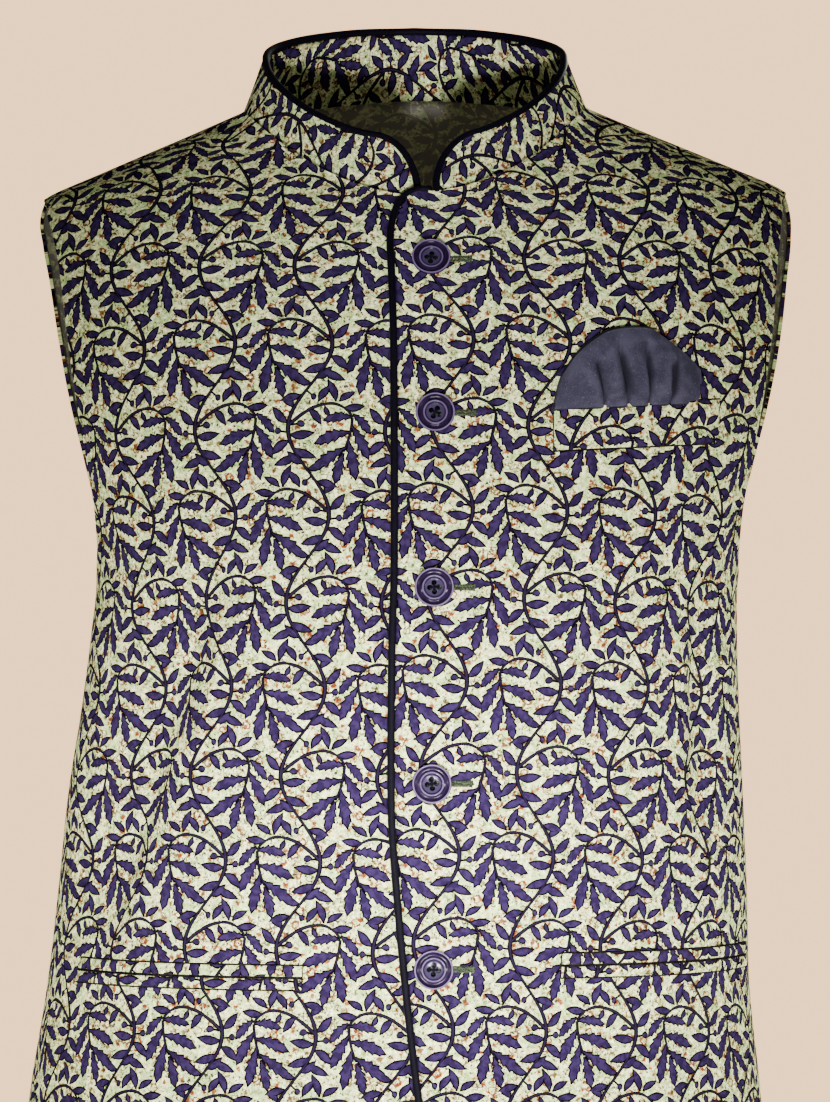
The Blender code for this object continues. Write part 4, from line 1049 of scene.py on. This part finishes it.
def make_cord(name, node, middle, out, away):
    """A cord beside an edge: middle is the edge's line, out the way out of the cloth along it, and away a direction
    that leads off the cloth's edge where the line starts."""
    off = unit(np.cross(np.gradient(middle, axis=0), out))
    off = off * np.sign((off[0] * away).sum())
    tube(name, node, middle + off * CORD_OFF, out, CORD_RADIUS, "navy_cord")


def make_front_cord(name, node, hand, grid):
    """The cord along a front's edge and rounded hem corner, and round the left one's neck corner. The right cord
    starts where the left front's cutaway uncovers it."""
    rows = joined(grid[0, ::-1], grid[:, 0], grid[-1])
    away = rows[:, 0] - hand * closure(rows[:, 1])
    kept = away < np.where(rows[:, 1] < UNDERARM, CORD_HEM_END, CORD_STOP)
    if hand < 0:
        kept &= rows[:, 1] < RIGHT_CORD_TOP
    girth, z = hand * rows[kept, 0], rows[kept, 1]
    middle = worn(hand, girth, z, -CLOTH / 2)
    on_cloth = worn(-1, girth[:1] + hand * 0.01, z[:1] - 0.01)[0]
    make_cord(name, node, middle, normal(hand, girth, z), middle[0] - on_cloth)


def make_button(number, level):
    """A dished button, turned a little: its face is a height over a disc, less four round holes, and its underside a
    cone. Two pairs of threads cross over its middle, and each thread dips into a hole at both ends."""
    share = np.linspace(0, 1, BUTTON_RINGS + 1)[:, None] ** 0.8
    turn = np.linspace(0, 2 * math.pi, BUTTON_STEPS, endpoint=False)
    x, y = BUTTON_RADIUS * share * np.cos(turn), BUTTON_RADIUS * share * np.sin(turn)
    hole = np.hypot(np.abs(x) - HOLE_OFF, np.abs(y) - HOLE_OFF)
    dip = HOLE_DEEP * (1 - smooth_step(hole, HOLE_RADIUS * 0.82, HOLE_RADIUS * 1.08))
    face = np.stack([x, y, through(FACE["radius"], FACE["height"], np.hypot(x, y)) - dip], axis=-1)
    wide, high = UNDERSIDE[:, :1], UNDERSIDE[:, 1:]
    low = np.stack([wide * x[-1], wide * y[-1], high * BUTTON_HEIGHT + 0 * x[-1]], axis=-1)
    local = np.concatenate([face, low]).reshape(-1, 3)
    girth, z = closure(np.array(level)), np.array(level)
    out = normal(1, girth, z)
    across = unit(np.cross(out, [0.0, 0.0, 1.0]))
    across = across * np.sign(across[0])
    up = np.cross(out, across)
    up = up * np.sign(up[2])
    cos, sin = (of(math.radians(BUTTON_TURNS[number - 1])) for of in (math.cos, math.sin))
    across, up = across * cos + up * sin, up * cos - across * sin
    seat, axes = worn(1, girth, z, BUTTON_SEAT), np.stack([across, up, out])
    faces = hoops(BUTTON_RINGS + 1 + len(UNDERSIDE), BUTTON_STEPS)
    name, slot = f"button_face_{number}", "button_plastic"
    piece(name, f"button_{number}", seat + local @ axes, faces, ["button_plastic"], local[:, :2], merged=True)
    s = np.linspace(-1, 1, 25)
    line, dip = s * HOLE_OFF * THREAD_REACH, THREAD_DIP * smooth_step(np.abs(s), 0.62, 1.0)
    for k, (side, off) in enumerate(((1, -THREAD_OFF), (1, THREAD_OFF), (-1, -THREAD_OFF), (-1, THREAD_OFF)), 1):
        rise = FACE["height"][0] + THREAD_RADIUS * (1.8 if side < 0 else 0.9) - dip
        path = seat + np.stack([line - side * off, side * line + off, rise], axis=1) @ axes
        sideways = np.broadcast_to(unit(np.array([side, -1.0, 0.0])) @ axes, path.shape)
        name = f"button_thread_{number}_{k}"
        tube(name, None, path, sideways, THREAD_RADIUS, "button_thread", sides=8)


def make_buttonhole(number, level):
    """A worked buttonhole beside a button: a stitched cord round a long slot, with a thicker bar at its far end."""
    half = SLOT_WIDE / 2
    s = np.linspace(0, 2 * SLOT_LONG + math.pi * half, 330)
    bend = np.clip((s - SLOT_LONG) / half, 0, math.pi)
    x = np.minimum(s, s[-1] - s)
    x = np.where((bend > 0) & (bend < math.pi), SLOT_LONG + half * np.sin(bend), x)
    girth, z = closure(np.array(level)) - SLOT_START + x, level + half * np.cos(bend)
    path = worn(1, girth, z, SLOT_THREAD * 0.35)
    stitches = 0.85 + 0.5 * np.abs(np.sin(math.pi * s / STITCH)) ** 3
    radii = SLOT_THREAD * stitches * (1 + 0.5 * smooth_step(x, SLOT_LONG - 0.0008, SLOT_LONG + 0.0004))
    name = f"buttonhole_{number}"
    tube(name, None, path, normal(1, girth, z), radii, "buttonhole_thread", sides=8, tall=0.7)


def welt(node, hand, start, width, top, tall, rise, shift, rows, round_up):
    """A narrow strip of doubled cloth on a front: its face rises from both long edges as a half ellipse to a power."""
    s, t = net(120, rows)
    girth, z = np.broadcast_arrays(hand * (start + width * s), top + rise * s - tall * t)
    crown = (1 - np.abs(2 * t - 1) ** round_up) ** 0.6 * (1 - np.abs(2 * s - 1) ** 24)
    outer = worn(hand, girth, z, SEAM_GAP + WELT_FOOT + WELT * crown)
    inner = worn(hand, girth, z, SEAM_GAP - WELT_SUNK)
    # The second finish paints shadow lines along the welt's long edges and rim.
    uv, finishes = np.stack([girth, z], axis=-1) + shift, ["print_cloth", "seam_shade"]
    return wall(node + "_cloth", node, outer, inner, uv, finishes, WELT_ROUND, shadow_edged=True)


def make_welts():
    """The breast welt and the two double welts at the hips. Returns the welts of each front."""
    breast = BREAST_START, BREAST_WIDTH, BREAST_TOP, BREAST_TALL, BREAST_RISE, BREAST_SHIFT
    welts = {1: [welt("breast_welt", 1, *breast, rows=48, round_up=14)], -1: []}
    for name, hand in (("left", 1), ("right", -1)):
        start = HIP_START + hand * closure(HIP_HEIGHTS[name])
        for row, level in (("upper", 0.5), ("lower", -0.5)):
            top = HIP_HEIGHTS[name] + HIP_WELT / 2 + level * (HIP_WELT + SEAM_GAP)
            strip = start, HIP_WIDTH, top, HIP_WELT, 0.0, (0.013 + 0.021 * hand, 0.031 + 0.017 * level)
            welts[hand].append(welt(f"hip_welt_{name}_{row}", hand, *strip, rows=12, round_up=2))
    return welts


def make_square():
    """The puffed pocket cloth: a low dome above the breast welt, under a rounded outline. Each pleat is a trough with
    a steep side and a slow one, and the outer lower corner turns under."""
    s, t = net(180, 60)
    girth = BREAST_START + SQUARE_WIDTH * (s + SQUARE_LEAN * np.sin(math.pi * s) * t)
    foot = BREAST_TOP + BREAST_RISE * s * SQUARE_WIDTH / BREAST_WIDTH + SEAM_GAP
    z = foot + SQUARE_TALL * through(PUFF_TOP["place"], PUFF_TOP["height"], s) * (1 - t) - TUCK * t**8
    dome = np.sin(math.pi * np.clip(s, 0.02, 0.98)) ** 0.45 * np.sin(math.pi * (0.10 + 0.55 * t)) ** 0.7
    dome = dome * (1 - 0.8 * smooth_step(t, 0.86, 1.0))
    depth = 0.0
    for pleat in PLEATS:
        off = s - pleat.foot - (pleat.head - pleat.foot) * (1 - t) - pleat.bow * np.sin(math.pi * t)
        fold = np.exp(-np.abs(np.where(off < 0, off / pleat.steep, off / pleat.slow)) ** 1.25)
        depth = depth + pleat.deep * fold * smooth_step(t, pleat.starts, pleat.starts + PLEAT_RUN)
    out = SQUARE_FOOT + SQUARE_PUFF * dome * (1.0 - np.clip(depth, 0, 0.92))
    turned = smooth_step((s - 1 + FLAP_WIDE) / FLAP_WIDE - (1 - t) / FLAP_TALL, -0.04, 0.04)
    out = out - FLAP_DEEP * turned * np.clip(out / FLAP_DEEP - 1, 0, 1)
    outer, inner = worn(1, girth, z, SEAM_GAP + out), worn(1, girth, z, SEAM_GAP - SQUARE_BACK)
    flat = np.stack([girth, z], axis=-1)
    made = wall("pocket_puff", "pocket_square", outer, inner, flat, ["pocket_cloth"], BAND_ROUND)


# Floor, light and camera


def make_stage():
    """A round floor, a dim room with a bright wall far ahead of the lens, and the lamps."""
    mesh = bpy.data.meshes.new("floor")
    turn = np.linspace(0, 2 * math.pi, 64, endpoint=False)
    ring = np.stack([FLOOR_RADIUS * np.cos(turn), FLOOR_RADIUS * np.sin(turn), np.full(64, FLOOR)], axis=1)
    mesh.from_pydata(ring.tolist(), [], [range(64)])
    paint = bpy.data.materials.new("floor_paint")
    paint.use_nodes = True
    inputs = paint.node_tree.nodes["Principled BSDF"].inputs
    inputs["Base Color"].default_value, inputs["Roughness"].default_value = (*FLOOR_PAINT, 1.0), 0.9
    mesh.materials.append(paint)
    placed("floor", mesh)

    world = bpy.context.scene.world = bpy.data.worlds.new("studio")
    world.use_nodes = True
    background = world.node_tree.nodes["Background"]
    start = Shade(world.node_tree, None)
    ahead = start.node("TexCoord", {}, output=0).parts()[1]
    colour = ahead.between(0.975, 0.992).mixed(ROOM, WALL)
    world.node_tree.links.new(colour.socket, background.inputs["Color"])
    background.inputs["Strength"].default_value = 1.0

    for lamp in LAMPS:
        light = bpy.data.lights.new(lamp.name, "AREA")
        light.shape, light.size, light.spread = "DISK", lamp.size, math.radians(lamp.spread)
        light.energy, light.color = lamp.power, lamp.colour
        made = placed(lamp.name, light)
        made.location = lamp.place
        made.rotation_euler = (Vector(lamp.aim) - made.location).to_track_quat("-Z", "Y").to_euler()


def make_camera():
    """A camera level with the jacket's middle, whose frame is FRAME_TALL high at the origin's depth."""
    lens = bpy.data.cameras.new("camera")
    lens.sensor_fit, lens.sensor_height = "VERTICAL", SENSOR
    lens.lens, lens.clip_start = SENSOR * CAMERA_BACK / FRAME_TALL, 0.01
    made = placed("camera", lens)
    made.location, made.rotation_euler = (0.0, -CAMERA_BACK, CAMERA_HEIGHT), (math.pi / 2, 0.0, 0.0)
    bpy.context.scene.camera = made


def main():
    make_camera()
    make_stage()
    make_finishes()
    grids = {1: front_grid(1), -1: front_grid(-1), 0: back_grid()}
    names = {1: "front_left", -1: "front_right", 0: "back"}
    panels = {hand: make_panel(names[hand], hand, grid) for hand, grid in grids.items()}
    make_collar(grids)
    make_front_cord("front_cord", "front_piping", 1, grids[1])
    make_front_cord("front_cord_right", "front_piping_right", -1, grids[-1])
    for make in (make_button, make_buttonhole):
        for number, level in enumerate(BUTTON_HEIGHTS, 1):
            make(number, level)
    welts = make_welts()
    make_square()


main()
